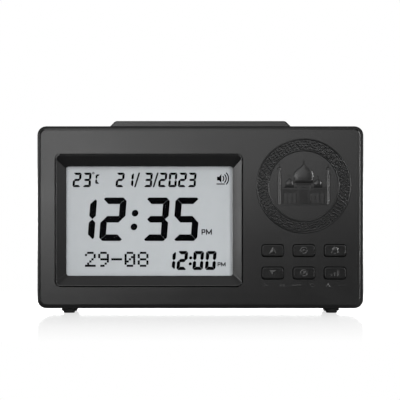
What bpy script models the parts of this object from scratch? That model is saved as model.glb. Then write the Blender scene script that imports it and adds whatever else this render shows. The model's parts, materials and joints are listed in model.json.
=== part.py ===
"""A digital prayer-time desk clock: a black moulded case with a wide display, six keys and a press bar.

Metres, +Z up. The front looks along -Y, +X is to the right as seen from the front, and the clock
stands on z = 0. Depths are measured from the front face towards the back.
"""

import math

import bmesh
import bpy
from mathutils import Euler, Matrix, Vector

# Case
BODY_WIDTH = 0.170
BODY_HEIGHT = 0.095
BODY_DEPTH = 0.048
CORNER_RADIUS = 0.0046
FRONT_FILLET = 0.0023
REAR_FILLET = 0.0026
REAR_DRAFT = 0.0016
WALL = 0.0022
FRONT_HOUSING_DEPTH = 0.030
SEAM_GAP = 0.0004
LIP_REACH = 0.0020
LIP_THICKNESS = 0.0009
LIP_ROOT = 0.0012
PIECE_GAP = 0.0003
OVERRUN = 0.0010
MERGE_DISTANCE = 0.00001
EMBED = 0.0005

# Rubber feet, pushed into holes in the floor of the case
FOOT_PROUD = 0.00255
FOOT_TOE_RADIUS = 0.0028
FOOT_RADIUS = 0.0040
FOOT_RIM = 0.0005
FOOT_STEM_RADIUS = 0.0018
FOOT_BARB_RADIUS = 0.0027
FOOT_BARB_LENGTH = 0.0018
FOOT_TIP_RADIUS = 0.0012
FOOT_SIDE_INSET = 0.0162
FOOT_FRONT_INSET = 0.0100

# Display bezel and its sloping sides
BEZEL_LEFT_MARGIN = 0.0091
BEZEL_TOP_MARGIN = 0.0143
BEZEL_BOTTOM_MARGIN = 0.0112
CONTROL_PANEL_WIDTH = 0.0628
BEZEL_CORNER_RADIUS = 0.0028
BEZEL_RIM = 0.0006
BEZEL_EDGE_ROUND = 0.0002
BEZEL_FLANGE_REACH = 0.0006
BEZEL_FLANGE_THICKNESS = 0.0012
SLOPE_LEFT = 0.0059
SLOPE_RIGHT = 0.0053
SLOPE_TOP = 0.0066
SLOPE_BOTTOM = 0.0058
RECESS_DEPTH = 0.0040
WINDOW_CORNER_RADIUS = 0.0010
WINDOW_EDGE_THICKNESS = 0.0008

# Display stack behind the bezel
LENS_OVERLAP = 0.0020
LENS_THICKNESS = 0.0010
LENS_POCKET_WALL = 0.0012
LCD_GLASS_THICKNESS = 0.0011
LCD_BACK_THICKNESS = 0.0013
LCD_LEDGE = 0.0040
HOLDER_WALL = 0.0015
LIGHT_GUIDE_THICKNESS = 0.0025
LED_LENGTH = 0.0025
LED_HEIGHT = 0.0080
ZEBRA_HEIGHT = 0.0022
ZEBRA_END_INSET = 0.0060

# Main circuit board
BOARD_THICKNESS = 0.0016
BOARD_SIDE_CLEARANCE = 0.0010
BOARD_END_CLEARANCE = 0.0095
BOARD_POST_RADIUS = 0.0020
BOARD_POST_INSET = 0.0026
BOARD_POST_END_INSET = 0.0050
BOARD_SCREW_RADIUS = 0.0007
BOARD_SCREW_LENGTH = 0.0060
BOARD_SCREW_HEAD_RADIUS = 0.0020
BOARD_SCREW_HEAD_HEIGHT = 0.0012
BOARD_HOLE_CLEARANCE = 0.0004
CHIP_RADIUS = 0.0070
CHIP_HEIGHT = 0.0018
CHIP_FROM_LEFT = 0.0560
CRYSTAL_RADIUS = 0.0010
CRYSTAL_LENGTH = 0.0060
CRYSTAL_OFFSET = 0.0130
CAPACITOR_RADIUS = 0.0032
CAPACITOR_HEIGHT = 0.0060
CAPACITOR_FROM_LEFT = 0.0960
THERMISTOR_RADIUS = 0.0012
THERMISTOR_LENGTH = 0.0030
THERMISTOR_INSET = 0.0080

# Keys and the silicone membrane that springs them
KEY_WIDTH = 0.0112
KEY_HEIGHT = 0.0062
KEY_CORNER_RADIUS = 0.0013
KEY_GAP = 0.0003
KEY_PROUD = 0.0007
KEY_EDGE_ROUND = 0.0003
KEY_RIM = 0.0007
KEY_DISH = 0.0003
KEY_PITCH_X = 0.0162
KEY_PITCH_Z = 0.0117
KEY_FLANGE_REACH = 0.0008
KEY_FLANGE_THICKNESS = 0.0010
KEY_PLUNGER_WIDTH = 0.0040
KEY_PLUNGER_HEIGHT = 0.0025
KEY_TRAVEL = 0.0010
KEYPAD_FROM_RIGHT = 0.0311
KEYPAD_LOW_ROW = 0.0185
MEMBRANE_THICKNESS = 0.0010
MEMBRANE_MARGIN = 0.0010
DOME_BASE_RADIUS = 0.0030
DOME_TOP_RADIUS = 0.0018
DOME_HEIGHT = 0.0030

# Round relief on the front, above the keys
MEDALLION_FROM_RIGHT = 0.0312
MEDALLION_FROM_TOP = 0.0311
MEDALLION_OUTER_RADIUS = 0.0248
MEDALLION_INNER_RADIUS = 0.0180
MEDALLION_PROUD = 0.0002
MEDALLION_EDGE_ROUND = 0.0001

# Press bar on top, with its springs, dome and small board
BAR_WIDTH = 0.0945
BAR_DEPTH = 0.0200
BAR_PROUD = 0.0028
BAR_SETBACK = 0.0050
BAR_CORNER_RADIUS = 0.0008
BAR_EDGE_ROUND = 0.0004
BAR_WALL = 0.0016
BAR_FLANGE_REACH = 0.0012
BAR_FLANGE_THICKNESS = 0.0012
BAR_TRAVEL = 0.0010
BAR_GUIDE_RADIUS = 0.0012
BAR_GUIDE_INSET = 0.00925
BAR_PLUNGER_RADIUS = 0.0025
BAR_SPRING_RADIUS = 0.0022
BAR_SPRING_WIRE = 0.0003
BAR_SPRING_TURNS = 5
SNOOZE_BOARD_DROP = 0.0062
SNOOZE_BOARD_OVERHANG = 0.0075
SNOOZE_BOARD_INSET = 0.0015
SNOOZE_DOME_RADIUS = 0.0040
SNOOZE_DOME_HEIGHT = 0.0032
STAKE_RADIUS = 0.0022
STAKE_PIN_RADIUS = 0.0010
STAKE_HEAD_RADIUS = 0.0019
STAKE_HEAD_HEIGHT = 0.0008
STAKE_OFFSET = 0.0030
STAKE_OUTSET = 0.0048

# Screws that close the case, and their bosses
CASE_BOSS_INSET = 0.0052
CASE_BOSS_RADIUS = 0.0030
CASE_BOSS_BACKSET = 0.0040
CASE_SCREW_RADIUS = 0.0013
CASE_SCREW_LENGTH = 0.0120
CASE_SCREW_HEAD_RADIUS = 0.0026
CASE_SCREW_HEAD_HEIGHT = 0.0020
CASE_SCREW_DRIVE_RADIUS = 0.0012
CASE_SCREW_DRIVE_DEPTH = 0.0010
CASE_TUBE_WALL = 0.0013
CASE_TUBE_FLOOR = 0.0034

# Loudspeaker on the rear cover
SPEAKER_FROM_RIGHT = 0.0312
SPEAKER_FROM_TOP = 0.0350
SPEAKER_RADIUS = 0.0225
SPEAKER_RIM_WIDTH = 0.0025
SPEAKER_RIM_THICKNESS = 0.0010
SPEAKER_SKIN = 0.0008
SPEAKER_BASKET_DEPTH = 0.0080
SPEAKER_BASKET_STEP = 0.0032
SPEAKER_SEAT_WALL = 0.0013
SPEAKER_SEAT_HEIGHT = 0.0020
GASKET_THICKNESS = 0.0010
MAGNET_RADIUS = 0.0125
MAGNET_THICKNESS = 0.0055
CONE_DEPTH = 0.0055
CONE_CAP_RADIUS = 0.0060
CONE_THICKNESS = 0.0006
SURROUND_WIDTH = 0.0030
SPEAKER_SCREW_RADIUS = 0.0009
SPEAKER_SCREW_LENGTH = 0.0050
SPEAKER_SCREW_HEAD_RADIUS = 0.0032
SPEAKER_SCREW_HEAD_HEIGHT = 0.0012
SPEAKER_POST_RADIUS = 0.0018
GRILLE_SLOT_WIDTH = 0.0016
GRILLE_SLOT_PITCH = 0.0036
GRILLE_RADIUS = 0.0175
GRILLE_SLOTS = 9

# Battery bay, its door, cells and contacts
CELL_RADIUS = 0.0071
CELL_LENGTH = 0.0500
CELL_NUB_LENGTH = 0.0010
CELL_NUB_RADIUS = 0.0027
CELL_EDGE_ROUND = 0.0006
CELL_SPACING = 0.0006
CELL_COUNT = 3
BAY_FROM_LEFT = 0.0530
BAY_FROM_BOTTOM = 0.0470
BAY_WALL = 0.0028
BAY_LEDGE = 0.0015
DOOR_THICKNESS = 0.0020
DOOR_GAP = 0.0003
DOOR_CORNER_RADIUS = 0.0015
DOOR_TONGUE_WIDTH = 0.0080
DOOR_TONGUE_THICKNESS = 0.0015
DOOR_TONGUE_REACH = 0.0023
DOOR_TONGUE_SPACING = 0.0360
DOOR_TONGUE_SWEEP = 0.0020
DOOR_OPENS_DEGREES = 40
LATCH_WIDTH = 0.0120
LATCH_HEIGHT = 0.0080
LATCH_SLOT = 0.0008
LATCH_TOOTH_DEPTH = 0.0012
LATCH_TOOTH_HEIGHT = 0.0010
LATCH_RIB_HEIGHT = 0.0004
SCOOP_RADIUS = 0.0060
SCOOP_DEPTH = 0.0012
CONTACT_THICKNESS = 0.0004
CONTACT_INSET = 0.0016
CONTACT_SPRING_LENGTH = 0.0046
CONTACT_SPRING_RADIUS = 0.0042
CONTACT_SPRING_TIP_RADIUS = 0.0022
CONTACT_SPRING_WIRE = 0.0004
CONTACT_SPRING_TURNS = 3

# Power socket and reset hole at the back
JACK_FROM_RIGHT = 0.0690
JACK_FROM_BOTTOM = 0.0160
JACK_WIDTH = 0.0090
JACK_HEIGHT = 0.0105
JACK_LENGTH = 0.0120
JACK_NOSE_RADIUS = 0.0039
JACK_BORE_RADIUS = 0.0029
JACK_BORE_DEPTH = 0.0095
JACK_PIN_RADIUS = 0.0010
JACK_PIN_RECESS = 0.0010
JACK_RIB_THICKNESS = 0.0012
JACK_RIB_SHORTFALL = 0.0030
RESET_HOLE_RADIUS = 0.0010
RESET_ABOVE_JACK = 0.0130

# Internal twin leads
LEAD_RADIUS = 0.0007
LEAD_END_CLEARANCE = 0.0004
LEAD_STRAIGHT = 0.0015
LEAD_SWAY = 0.0050

# How finely round shapes are drawn
CORNER_STEPS = 5
FILLET_STEPS = 4
SMALL_ROUND = 12
MEDIUM_ROUND = 20
LARGE_ROUND = 40
RELIEF_ROUND = 60
SMOOTH_ANGLE = math.radians(35)

# Places that follow from the sizes above
FRONT_Y = (KEY_PROUD - BODY_DEPTH) / 2
SIDE_X = BODY_WIDTH / 2
BODY_BOTTOM = FOOT_PROUD
BODY_TOP = FOOT_PROUD + BODY_HEIGHT
BODY_RECT = (-SIDE_X, SIDE_X, BODY_BOTTOM, BODY_TOP)
REAR_INNER_DEPTH = BODY_DEPTH - WALL
REAR_COVER_START = FRONT_HOUSING_DEPTH + SEAM_GAP
LIP_END = REAR_COVER_START + EMBED + LIP_ROOT

BEZEL_HOLE = (
    -SIDE_X + BEZEL_LEFT_MARGIN,
    SIDE_X - CONTROL_PANEL_WIDTH,
    BODY_BOTTOM + BEZEL_BOTTOM_MARGIN,
    BODY_TOP - BEZEL_TOP_MARGIN,
)
FLANGE_START = WALL + PIECE_GAP
BEZEL_FLANGE_END = FLANGE_START + BEZEL_FLANGE_THICKNESS
LENS_START = RECESS_DEPTH + WINDOW_EDGE_THICKNESS + PIECE_GAP
LENS_END = LENS_START + LENS_THICKNESS
LCD_START = LENS_END + PIECE_GAP
LCD_GLASS_END = LCD_START + LCD_GLASS_THICKNESS
LCD_END = LCD_GLASS_END + LCD_BACK_THICKNESS
LIGHT_GUIDE_START = LCD_END + PIECE_GAP
LIGHT_GUIDE_END = LIGHT_GUIDE_START + LIGHT_GUIDE_THICKNESS
BOARD_START = LIGHT_GUIDE_END + PIECE_GAP
BOARD_END = BOARD_START + BOARD_THICKNESS

KEYPAD_X = SIDE_X - KEYPAD_FROM_RIGHT
KEY_ROWS = (BODY_BOTTOM + KEYPAD_LOW_ROW + KEY_PITCH_Z, BODY_BOTTOM + KEYPAD_LOW_ROW)
KEY_COLUMNS = (KEYPAD_X - KEY_PITCH_X, KEYPAD_X, KEYPAD_X + KEY_PITCH_X)
KEY_FLANGE_END = FLANGE_START + KEY_FLANGE_THICKNESS
MEMBRANE_START = BOARD_START - PIECE_GAP - MEMBRANE_THICKNESS
DOME_TOP = MEMBRANE_START - DOME_HEIGHT

BAR_MIDDLE = BAR_SETBACK + BAR_DEPTH / 2
BAR_GUIDE_X = BAR_WIDTH / 2 - BAR_GUIDE_INSET
SNOOZE_BOARD_TOP = BODY_TOP - WALL - SNOOZE_BOARD_DROP
SNOOZE_BOARD_BOTTOM = SNOOZE_BOARD_TOP - BOARD_THICKNESS

SPEAKER_X = SIDE_X - SPEAKER_FROM_RIGHT
SPEAKER_Z = BODY_TOP - SPEAKER_FROM_TOP
GASKET_START = REAR_INNER_DEPTH - PIECE_GAP - GASKET_THICKNESS
SPEAKER_RIM_START = GASKET_START - PIECE_GAP - SPEAKER_RIM_THICKNESS

BAY_X = -SIDE_X + BAY_FROM_LEFT
BAY_Z = BODY_BOTTOM + BAY_FROM_BOTTOM
CELL_PITCH = 2 * CELL_RADIUS + CELL_SPACING
BAY_LENGTH = CELL_LENGTH + CONTACT_SPRING_LENGTH + 2 * CONTACT_THICKNESS + 5 * PIECE_GAP
BAY_HEIGHT = CELL_COUNT * CELL_PITCH + CELL_SPACING
BAY_RECT = (
    BAY_X - BAY_LENGTH / 2,
    BAY_X + BAY_LENGTH / 2,
    BAY_Z - BAY_HEIGHT / 2,
    BAY_Z + BAY_HEIGHT / 2,
)
DOOR_SEAT = BODY_DEPTH - DOOR_THICKNESS - PIECE_GAP
CELL_AXIS_DEPTH = DOOR_SEAT - PIECE_GAP - CELL_RADIUS
BAY_FLOOR = CELL_AXIS_DEPTH - CELL_RADIUS - PIECE_GAP

JACK_X = SIDE_X - JACK_FROM_RIGHT
JACK_Z = BODY_BOTTOM + JACK_FROM_BOTTOM
JACK_END = REAR_INNER_DEPTH - PIECE_GAP


def at_depth(depth):
    """The y of a plane this far behind the front face."""
    return FRONT_Y + depth


def grow(rect, amount):
    """A rectangle (left, right, bottom, top) with each side moved out by amount."""
    left, right, bottom, top = rect
    return (left - amount, right + amount, bottom - amount, top + amount)


def around(x, z, width, height):
    """A rectangle of this size about a point of the front."""
    return (x - width / 2, x + width / 2, z - height / 2, z + height / 2)


def new_collection(name):
    collection = bpy.data.collections.new(name)
    bpy.context.scene.collection.children.link(collection)
    return collection


def material(name, colour, roughness, metallic=0.0):
    """A Principled material, made once for each name."""
    made = bpy.data.materials.get(name)
    if made:
        return made
    made = bpy.data.materials.new(name)
    made.use_nodes = True
    shader = made.node_tree.nodes["Principled BSDF"]
    shader.inputs["Base Color"].default_value = (*colour, 1.0)
    shader.inputs["Roughness"].default_value = roughness
    shader.inputs["Metallic"].default_value = metallic
    return made


def case_plastic():
    return material("case_plastic", (0.035, 0.035, 0.037), 0.50)


def key_plastic():
    return material("key_plastic", (0.026, 0.026, 0.027), 0.45)


def bezel_plastic():
    return material("bezel_plastic", (0.022, 0.022, 0.024), 0.38)


def rubber():
    return material("foot_rubber", (0.012, 0.012, 0.012), 0.80)


def steel():
    return material("screw_steel", (0.55, 0.55, 0.56), 0.35, 1.0)


def spring_steel():
    return material("spring_steel", (0.70, 0.69, 0.66), 0.30, 1.0)


def board_laminate():
    return material("board_laminate", (0.03, 0.16, 0.06), 0.45)


def add_piece(name, mesh, finish, collection):
    """An object for a mesh, shaded smooth with its real edges kept sharp."""
    piece = bpy.data.objects.new(name, mesh)
    collection.objects.link(piece)
    if finish:
        mesh.materials.append(finish)
    mesh.shade_smooth()
    mesh.set_sharp_from_angle(angle=SMOOTH_ANGLE)
    return piece


def mesh_from(name, work):
    """Closes a bmesh into a mesh whose faces point outwards."""
    bmesh.ops.recalc_face_normals(work, faces=work.faces)
    mesh = bpy.data.meshes.new(name)
    work.to_mesh(mesh)
    work.free()
    return mesh


def rounded_outline(rect, radius, steps=CORNER_STEPS):
    """The (x, z) points of a rectangle with round corners, once round from its lower right."""
    left, right, bottom, top = rect
    radius = max(min(radius, (right - left) / 2, (top - bottom) / 2), 0)
    centres = (
        (right - radius, bottom + radius, -90),
        (right - radius, top - radius, 0),
        (left + radius, top - radius, 90),
        (left + radius, bottom + radius, 180),
    )
    points = []
    for x, z, first in centres:
        for step in range(steps):
            angle = math.radians(first + 90 * step / (steps - 1))
            points.append((x + radius * math.cos(angle), z + radius * math.sin(angle)))
    return points


def loft(name, loops, finish, collection, ring=False):
    """Skins loops of 3-D points in turn. A ring joins the last to the first; else both ends are capped."""
    work = bmesh.new()
    rows = [[work.verts.new(point) for point in loop] for loop in loops]
    count = len(rows[0])
    following = rows[1:] + rows[:1] if ring else rows[1:]
    for row, after in zip(rows, following):
        for i in range(count):
            j = (i + 1) % count
            work.faces.new((row[i], row[j], after[j], after[i]))
    if not ring:
        work.faces.new(rows[0])
        work.faces.new(rows[-1])
    return add_piece(name, mesh_from(name, work), finish, collection)


def depth_loft(name, stations, finish, collection, ring=False, steps=CORNER_STEPS):
    """A loft through rounded rectangles, each given as (rectangle, corner radius, depth)."""
    loops = [
        [(x, at_depth(depth), z) for x, z in rounded_outline(rect, radius, steps)]
        for rect, radius, depth in stations
    ]
    return loft(name, loops, finish, collection, ring)


def height_loft(name, stations, finish, collection, steps=CORNER_STEPS):
    """A loft upwards through rounded rectangles of x and depth, each (rectangle, corner radius, z)."""
    loops = [
        [(x, at_depth(depth), z) for x, depth in rounded_outline(rect, radius, steps)]
        for rect, radius, z in stations
    ]
    return loft(name, loops, finish, collection)


def block(name, rect, start, end, finish, collection, radius=0.0, steps=CORNER_STEPS):
    """A box from one depth to another, its four long edges rounded by Bevel where a radius is given."""
    left, right, bottom, top = rect
    size = Vector((right - left, end - start, top - bottom))
    middle = Vector(((left + right) / 2, at_depth((start + end) / 2), (bottom + top) / 2))
    work = bmesh.new()
    bmesh.ops.create_cube(work, size=1.0, matrix=Matrix.Translation(middle) @ Matrix.Diagonal((*size, 1.0)))
    if radius > 0:
        along = [e for e in work.edges if abs((e.verts[0].co - e.verts[1].co).y) > size.y / 2]
        bmesh.ops.bevel(
            work, geom=along, offset=radius, segments=steps - 1, profile=0.5, affect="EDGES", clamp_overlap=True
        )
    return add_piece(name, mesh_from(name, work), finish, collection)


def cylinder(name, radius, start, end, finish, collection, sides=MEDIUM_ROUND, end_radius=None):
    """A cylinder or cone frustum between two points."""
    start, end = Vector(start), Vector(end)
    axis = end - start
    turn = axis.to_track_quat("Z", "Y").to_matrix().to_4x4()
    work = bmesh.new()
    bmesh.ops.create_cone(
        work,
        cap_ends=True,
        segments=sides,
        radius1=radius,
        radius2=radius if end_radius is None else end_radius,
        depth=axis.length,
        matrix=Matrix.Translation((start + end) / 2) @ turn,
    )
    return add_piece(name, mesh_from(name, work), finish, collection)


def turned(name, profile, finish, collection, steps=MEDIUM_ROUND, ring=False):
    """A profile of (radius, height) turned about Z by a Screw modifier, from top to bottom outside."""
    mesh = bpy.data.meshes.new(name)
    points = [(radius, 0.0, height) for radius, height in profile]
    edges = [(i, i + 1) for i in range(len(points) - 1)]
    if ring:
        edges.append((len(points) - 1, 0))
    mesh.from_pydata(points, edges, [])
    piece = bpy.data.objects.new(name, mesh)
    collection.objects.link(piece)
    if finish:
        mesh.materials.append(finish)
    screw = piece.modifiers.new("turn", "SCREW")
    screw.axis = "Z"
    screw.steps = steps
    screw.render_steps = steps
    screw.use_smooth_shade = True
    screw.use_merge_vertices = True
    screw.merge_threshold = MERGE_DISTANCE
    return piece


def stand(piece, place, axis="up"):
    """Puts a turned piece at a place, with its height running up, to the back or to the front."""
    turns = {"up": (0, 0, 0), "back": (-math.pi / 2, 0, 0), "front": (math.pi / 2, 0, 0)}
    piece.location = place
    piece.rotation_euler = Euler(turns[axis])
    return piece


def wire(name, points, radius, finish, collection):
    """A round wire along a list of points, as a bevelled curve with closed ends."""
    curve = bpy.data.curves.new(name, "CURVE")
    curve.dimensions = "3D"
    curve.bevel_depth = radius
    curve.bevel_resolution = 1
    curve.use_fill_caps = True
    spline = curve.splines.new("POLY")
    spline.points.add(len(points) - 1)
    for target, point in zip(spline.points, points):
        target.co = (*point, 1.0)
    if finish:
        curve.materials.append(finish)
    piece = bpy.data.objects.new(name, curve)
    collection.objects.link(piece)
    return piece


def eased_path(start, end, near_straight, far_straight, steps=14):
    """A route towards the back that leaves and arrives straight and is eased sideways between."""
    start, end = Vector(start), Vector(end)
    near, far = start + Vector((0, near_straight, 0)), end - Vector((0, far_straight, 0))
    points = [start]
    for i in range(steps + 1):
        share = i / steps
        eased = share * share * (3 - 2 * share)
        y = near.y + (far.y - near.y) * share
        points.append(Vector((near.x + (far.x - near.x) * eased, y, near.z + (far.z - near.z) * eased)))
    points.append(end)
    return points


def coil(start_radius, end_radius, length, turns, steps=8):
    """Points of a helix about Z from 0 to length, its radius changing evenly."""
    total = turns * steps
    points = []
    for i in range(total + 1):
        share = i / total
        angle = 2 * math.pi * turns * share
        radius = start_radius + (end_radius - start_radius) * share
        points.append(Vector((radius * math.cos(angle), radius * math.sin(angle), length * share)))
    return points


def use_boolean(target, tool, operation):
    """Cuts or joins with another object, which stays in the file as a hidden helper."""
    change = target.modifiers.new(f"{operation.lower()} {tool.name}", "BOOLEAN")
    change.operation = operation
    change.object = tool
    change.solver = "EXACT"
    tool.hide_render = True
    tool.display_type = "WIRE"


def cut(target, *tools):
    for tool in tools:
        use_boolean(target, tool, "DIFFERENCE")


def join(target, *tools):
    for tool in tools:
        use_boolean(target, tool, "UNION")


def move_origin(piece, place):
    """Moves a piece's origin to a place without moving the piece."""
    piece.data.transform(Matrix.Translation(-Vector(place)))
    piece.location = place
    return piece


def case_corner_places(inset):
    """(x, z) of the four corners, this far inside the case's inner walls."""
    x = SIDE_X - WALL - inset
    low, high = BODY_BOTTOM + WALL + inset, BODY_TOP - WALL - inset
    return [(-x, low), (x, low), (-x, high), (x, high)]


def board_rect():
    inside = grow(BODY_RECT, -WALL)
    return (
        inside[0] + BOARD_SIDE_CLEARANCE,
        inside[1] - BOARD_SIDE_CLEARANCE,
        inside[2] + BOARD_END_CLEARANCE,
        inside[3] - BOARD_END_CLEARANCE,
    )


def board_post_places():
    left, right, bottom, top = board_rect()
    return [
        (x, z)
        for x in (left + BOARD_POST_INSET, right - BOARD_POST_INSET)
        for z in (bottom + BOARD_POST_END_INSET, top - BOARD_POST_END_INSET)
    ]


def key_places():
    """(name, x, z) of the six keys, row by row."""
    names = ("left", "middle", "right")
    return [
        (f"key_{row}_{name}", x, z)
        for row, z in zip(("upper", "lower"), KEY_ROWS)
        for name, x in zip(names, KEY_COLUMNS)
    ]


def foot_places():
    x = SIDE_X - FOOT_SIDE_INSET
    front, rear = FOOT_FRONT_INSET, (LIP_END + REAR_INNER_DEPTH) / 2
    return [
        ("foot_front_left", -x, front),
        ("foot_front_right", x, front),
        ("foot_rear_left", -x, rear),
        ("foot_rear_right", x, rear),
    ]


def body_block(name, start, end, inset, draft, fillet_end, fillet, finish, collection):
    """A block with the case's outline, drawn in by inset, whose rear sides and top lean in by draft."""
    left, right, bottom, top = grow(BODY_RECT, -inset)
    size = Vector((right - left, end - start, top - bottom))
    middle = Vector(((left + right) / 2, at_depth((start + end) / 2), (bottom + top) / 2))
    work = bmesh.new()
    bmesh.ops.create_cube(work, size=1.0, matrix=Matrix.Translation(middle) @ Matrix.Diagonal((*size, 1.0)))
    for vert in work.verts:
        if vert.co.y > middle.y:
            vert.co.x -= math.copysign(draft, vert.co.x)
            vert.co.z -= draft if vert.co.z > middle.z else 0
    along = [e for e in work.edges if abs((e.verts[0].co - e.verts[1].co).y) > size.y / 2]
    corner = max(CORNER_RADIUS - inset, EMBED)
    bmesh.ops.bevel(work, geom=along, offset=corner, segments=CORNER_STEPS, profile=0.5, affect="EDGES")
    if fillet > 0:
        plane = at_depth(start if fillet_end == "front" else end)
        rim = [e for e in work.edges if all(abs(v.co.y - plane) < EMBED for v in e.verts)]
        bmesh.ops.bevel(work, geom=rim, offset=fillet, segments=FILLET_STEPS, profile=0.5, affect="EDGES")
    return add_piece(name, mesh_from(name, work), finish, collection)


def foot_hole(name, x, depth, tools):
    y = at_depth(depth)
    return cylinder(
        f"{name}_hole",
        FOOT_STEM_RADIUS + PIECE_GAP,
        (x, y, BODY_BOTTOM - OVERRUN),
        (x, y, BODY_BOTTOM + WALL + OVERRUN),
        None,
        tools,
        SMALL_ROUND,
    )


def build_front_housing(parts, tools):
    """The deep front shell: face, side walls, bezel opening, key wells, bar opening, posts and bosses."""
    shell = body_block(
        "front_housing", 0, FRONT_HOUSING_DEPTH, 0, 0, "front", FRONT_FILLET, case_plastic(), parts
    )
    hollow = body_block(
        "front_hollow", WALL, FRONT_HOUSING_DEPTH + OVERRUN, WALL, 0, "front", 0, None, tools
    )
    cut(shell, hollow)
    add_medallion_ring(shell, tools)
    add_case_bosses(shell, tools)
    add_board_posts(shell, tools)
    add_snooze_stakes(shell, tools)
    opening = block(
        "bezel_opening", BEZEL_HOLE, -OVERRUN, WALL + OVERRUN, None, tools, BEZEL_CORNER_RADIUS
    )
    cut(shell, opening)
    for name, x, z in key_places():
        well = around(x, z, KEY_WIDTH + 2 * KEY_GAP, KEY_HEIGHT + 2 * KEY_GAP)
        cut(
            shell,
            block(f"{name}_well", well, -OVERRUN, WALL + OVERRUN, None, tools, KEY_CORNER_RADIUS + KEY_GAP),
        )
    slot = (
        -BAR_WIDTH / 2 - PIECE_GAP,
        BAR_WIDTH / 2 + PIECE_GAP,
        BODY_TOP - WALL - OVERRUN,
        BODY_TOP + OVERRUN,
    )
    start, end = BAR_SETBACK - PIECE_GAP, BAR_SETBACK + BAR_DEPTH + PIECE_GAP
    cut(shell, block("bar_opening", slot, start, end, None, tools))
    for name, x, depth in foot_places()[:2]:
        cut(shell, foot_hole(name, x, depth, tools))
    return shell


def add_medallion_ring(shell, tools):
    """The flat raised ring that carries the ornament, joined to the face."""
    proud, edge = MEDALLION_PROUD, MEDALLION_EDGE_ROUND
    ring = turned(
        "medallion_ring",
        [
            (MEDALLION_OUTER_RADIUS - edge, proud),
            (MEDALLION_OUTER_RADIUS, proud - edge),
            (MEDALLION_OUTER_RADIUS, -EMBED),
            (MEDALLION_INNER_RADIUS, -EMBED),
            (MEDALLION_INNER_RADIUS, proud - edge),
            (MEDALLION_INNER_RADIUS + edge, proud),
        ],
        None,
        tools,
        RELIEF_ROUND,
        ring=True,
    )
    place = (SIDE_X - MEDALLION_FROM_RIGHT, FRONT_Y, BODY_TOP - MEDALLION_FROM_TOP)
    join(shell, stand(ring, place, "front"))


def add_case_bosses(shell, tools):
    """Four corner bosses with pilot holes for the case screws."""
    top = FRONT_HOUSING_DEPTH - CASE_BOSS_BACKSET
    hole_end = top + PIECE_GAP + CASE_TUBE_FLOOR + PIECE_GAP - CASE_SCREW_LENGTH - OVERRUN
    for i, (x, z) in enumerate(case_corner_places(CASE_BOSS_INSET)):
        boss = cylinder(
            f"case_boss_{i + 1}",
            CASE_BOSS_RADIUS,
            (x, at_depth(WALL - EMBED), z),
            (x, at_depth(top), z),
            None,
            tools,
        )
        pilot = cylinder(
            f"case_pilot_{i + 1}",
            CASE_SCREW_RADIUS + PIECE_GAP,
            (x, at_depth(hole_end), z),
            (x, at_depth(top + OVERRUN), z),
            None,
            tools,
            SMALL_ROUND,
        )
        join(shell, boss)
        cut(shell, pilot)


def add_board_posts(shell, tools):
    """Four posts that carry the main board, with pilot holes."""
    for i, (x, z) in enumerate(board_post_places()):
        top = BOARD_START - PIECE_GAP
        post = cylinder(
            f"board_post_{i + 1}",
            BOARD_POST_RADIUS,
            (x, at_depth(WALL - EMBED), z),
            (x, at_depth(top), z),
            None,
            tools,
        )
        pilot = cylinder(
            f"board_pilot_{i + 1}",
            BOARD_SCREW_RADIUS + PIECE_GAP,
            (x, at_depth(BOARD_END - BOARD_SCREW_LENGTH - PIECE_GAP), z),
            (x, at_depth(top + OVERRUN), z),
            None,
            tools,
            SMALL_ROUND,
        )
        join(shell, post)
        cut(shell, pilot)


def stake_places():
    x = BAR_WIDTH / 2 + STAKE_OUTSET
    return [(-x, BAR_MIDDLE + STAKE_OFFSET), (x, BAR_MIDDLE + STAKE_OFFSET)]


def add_snooze_stakes(shell, tools):
    """Two pins hanging from the top wall, their ends melted over the small board that they hold."""
    head_top = SNOOZE_BOARD_BOTTOM - PIECE_GAP
    shoulder = SNOOZE_BOARD_TOP + PIECE_GAP
    for i, (x, depth) in enumerate(stake_places()):
        stake = turned(
            f"snooze_stake_{i + 1}",
            [
                (0, BODY_TOP - WALL + EMBED),
                (STAKE_RADIUS, BODY_TOP - WALL + EMBED),
                (STAKE_RADIUS, shoulder),
                (STAKE_PIN_RADIUS, shoulder),
                (STAKE_PIN_RADIUS, head_top),
                (STAKE_HEAD_RADIUS, head_top),
                (STAKE_HEAD_RADIUS / 2, head_top - STAKE_HEAD_HEIGHT),
                (0, head_top - STAKE_HEAD_HEIGHT),
            ],
            None,
            tools,
            SMALL_ROUND,
        )
        join(shell, stand(stake, (x, at_depth(depth), 0)))


def build_rear_cover(parts, tools):
    """The shallow rear shell: lip, screw tubes, battery bay, speaker seat and grille, socket hole."""
    shell = body_block(
        "rear_cover", REAR_COVER_START, BODY_DEPTH, 0, REAR_DRAFT, "rear", REAR_FILLET, case_plastic(), parts
    )
    hollow = body_block(
        "rear_hollow", REAR_COVER_START - OVERRUN, REAR_INNER_DEPTH, WALL, REAR_DRAFT, "rear", 0, None, tools
    )
    cut(shell, hollow)
    add_mating_lip(shell, tools)
    add_case_tubes(shell, tools)
    add_speaker_seat(shell, tools)
    add_battery_bay(shell, tools)
    add_socket_mount(shell, tools)
    for name, x, depth in foot_places()[2:]:
        cut(shell, foot_hole(name, x, depth, tools))
    return shell


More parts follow.
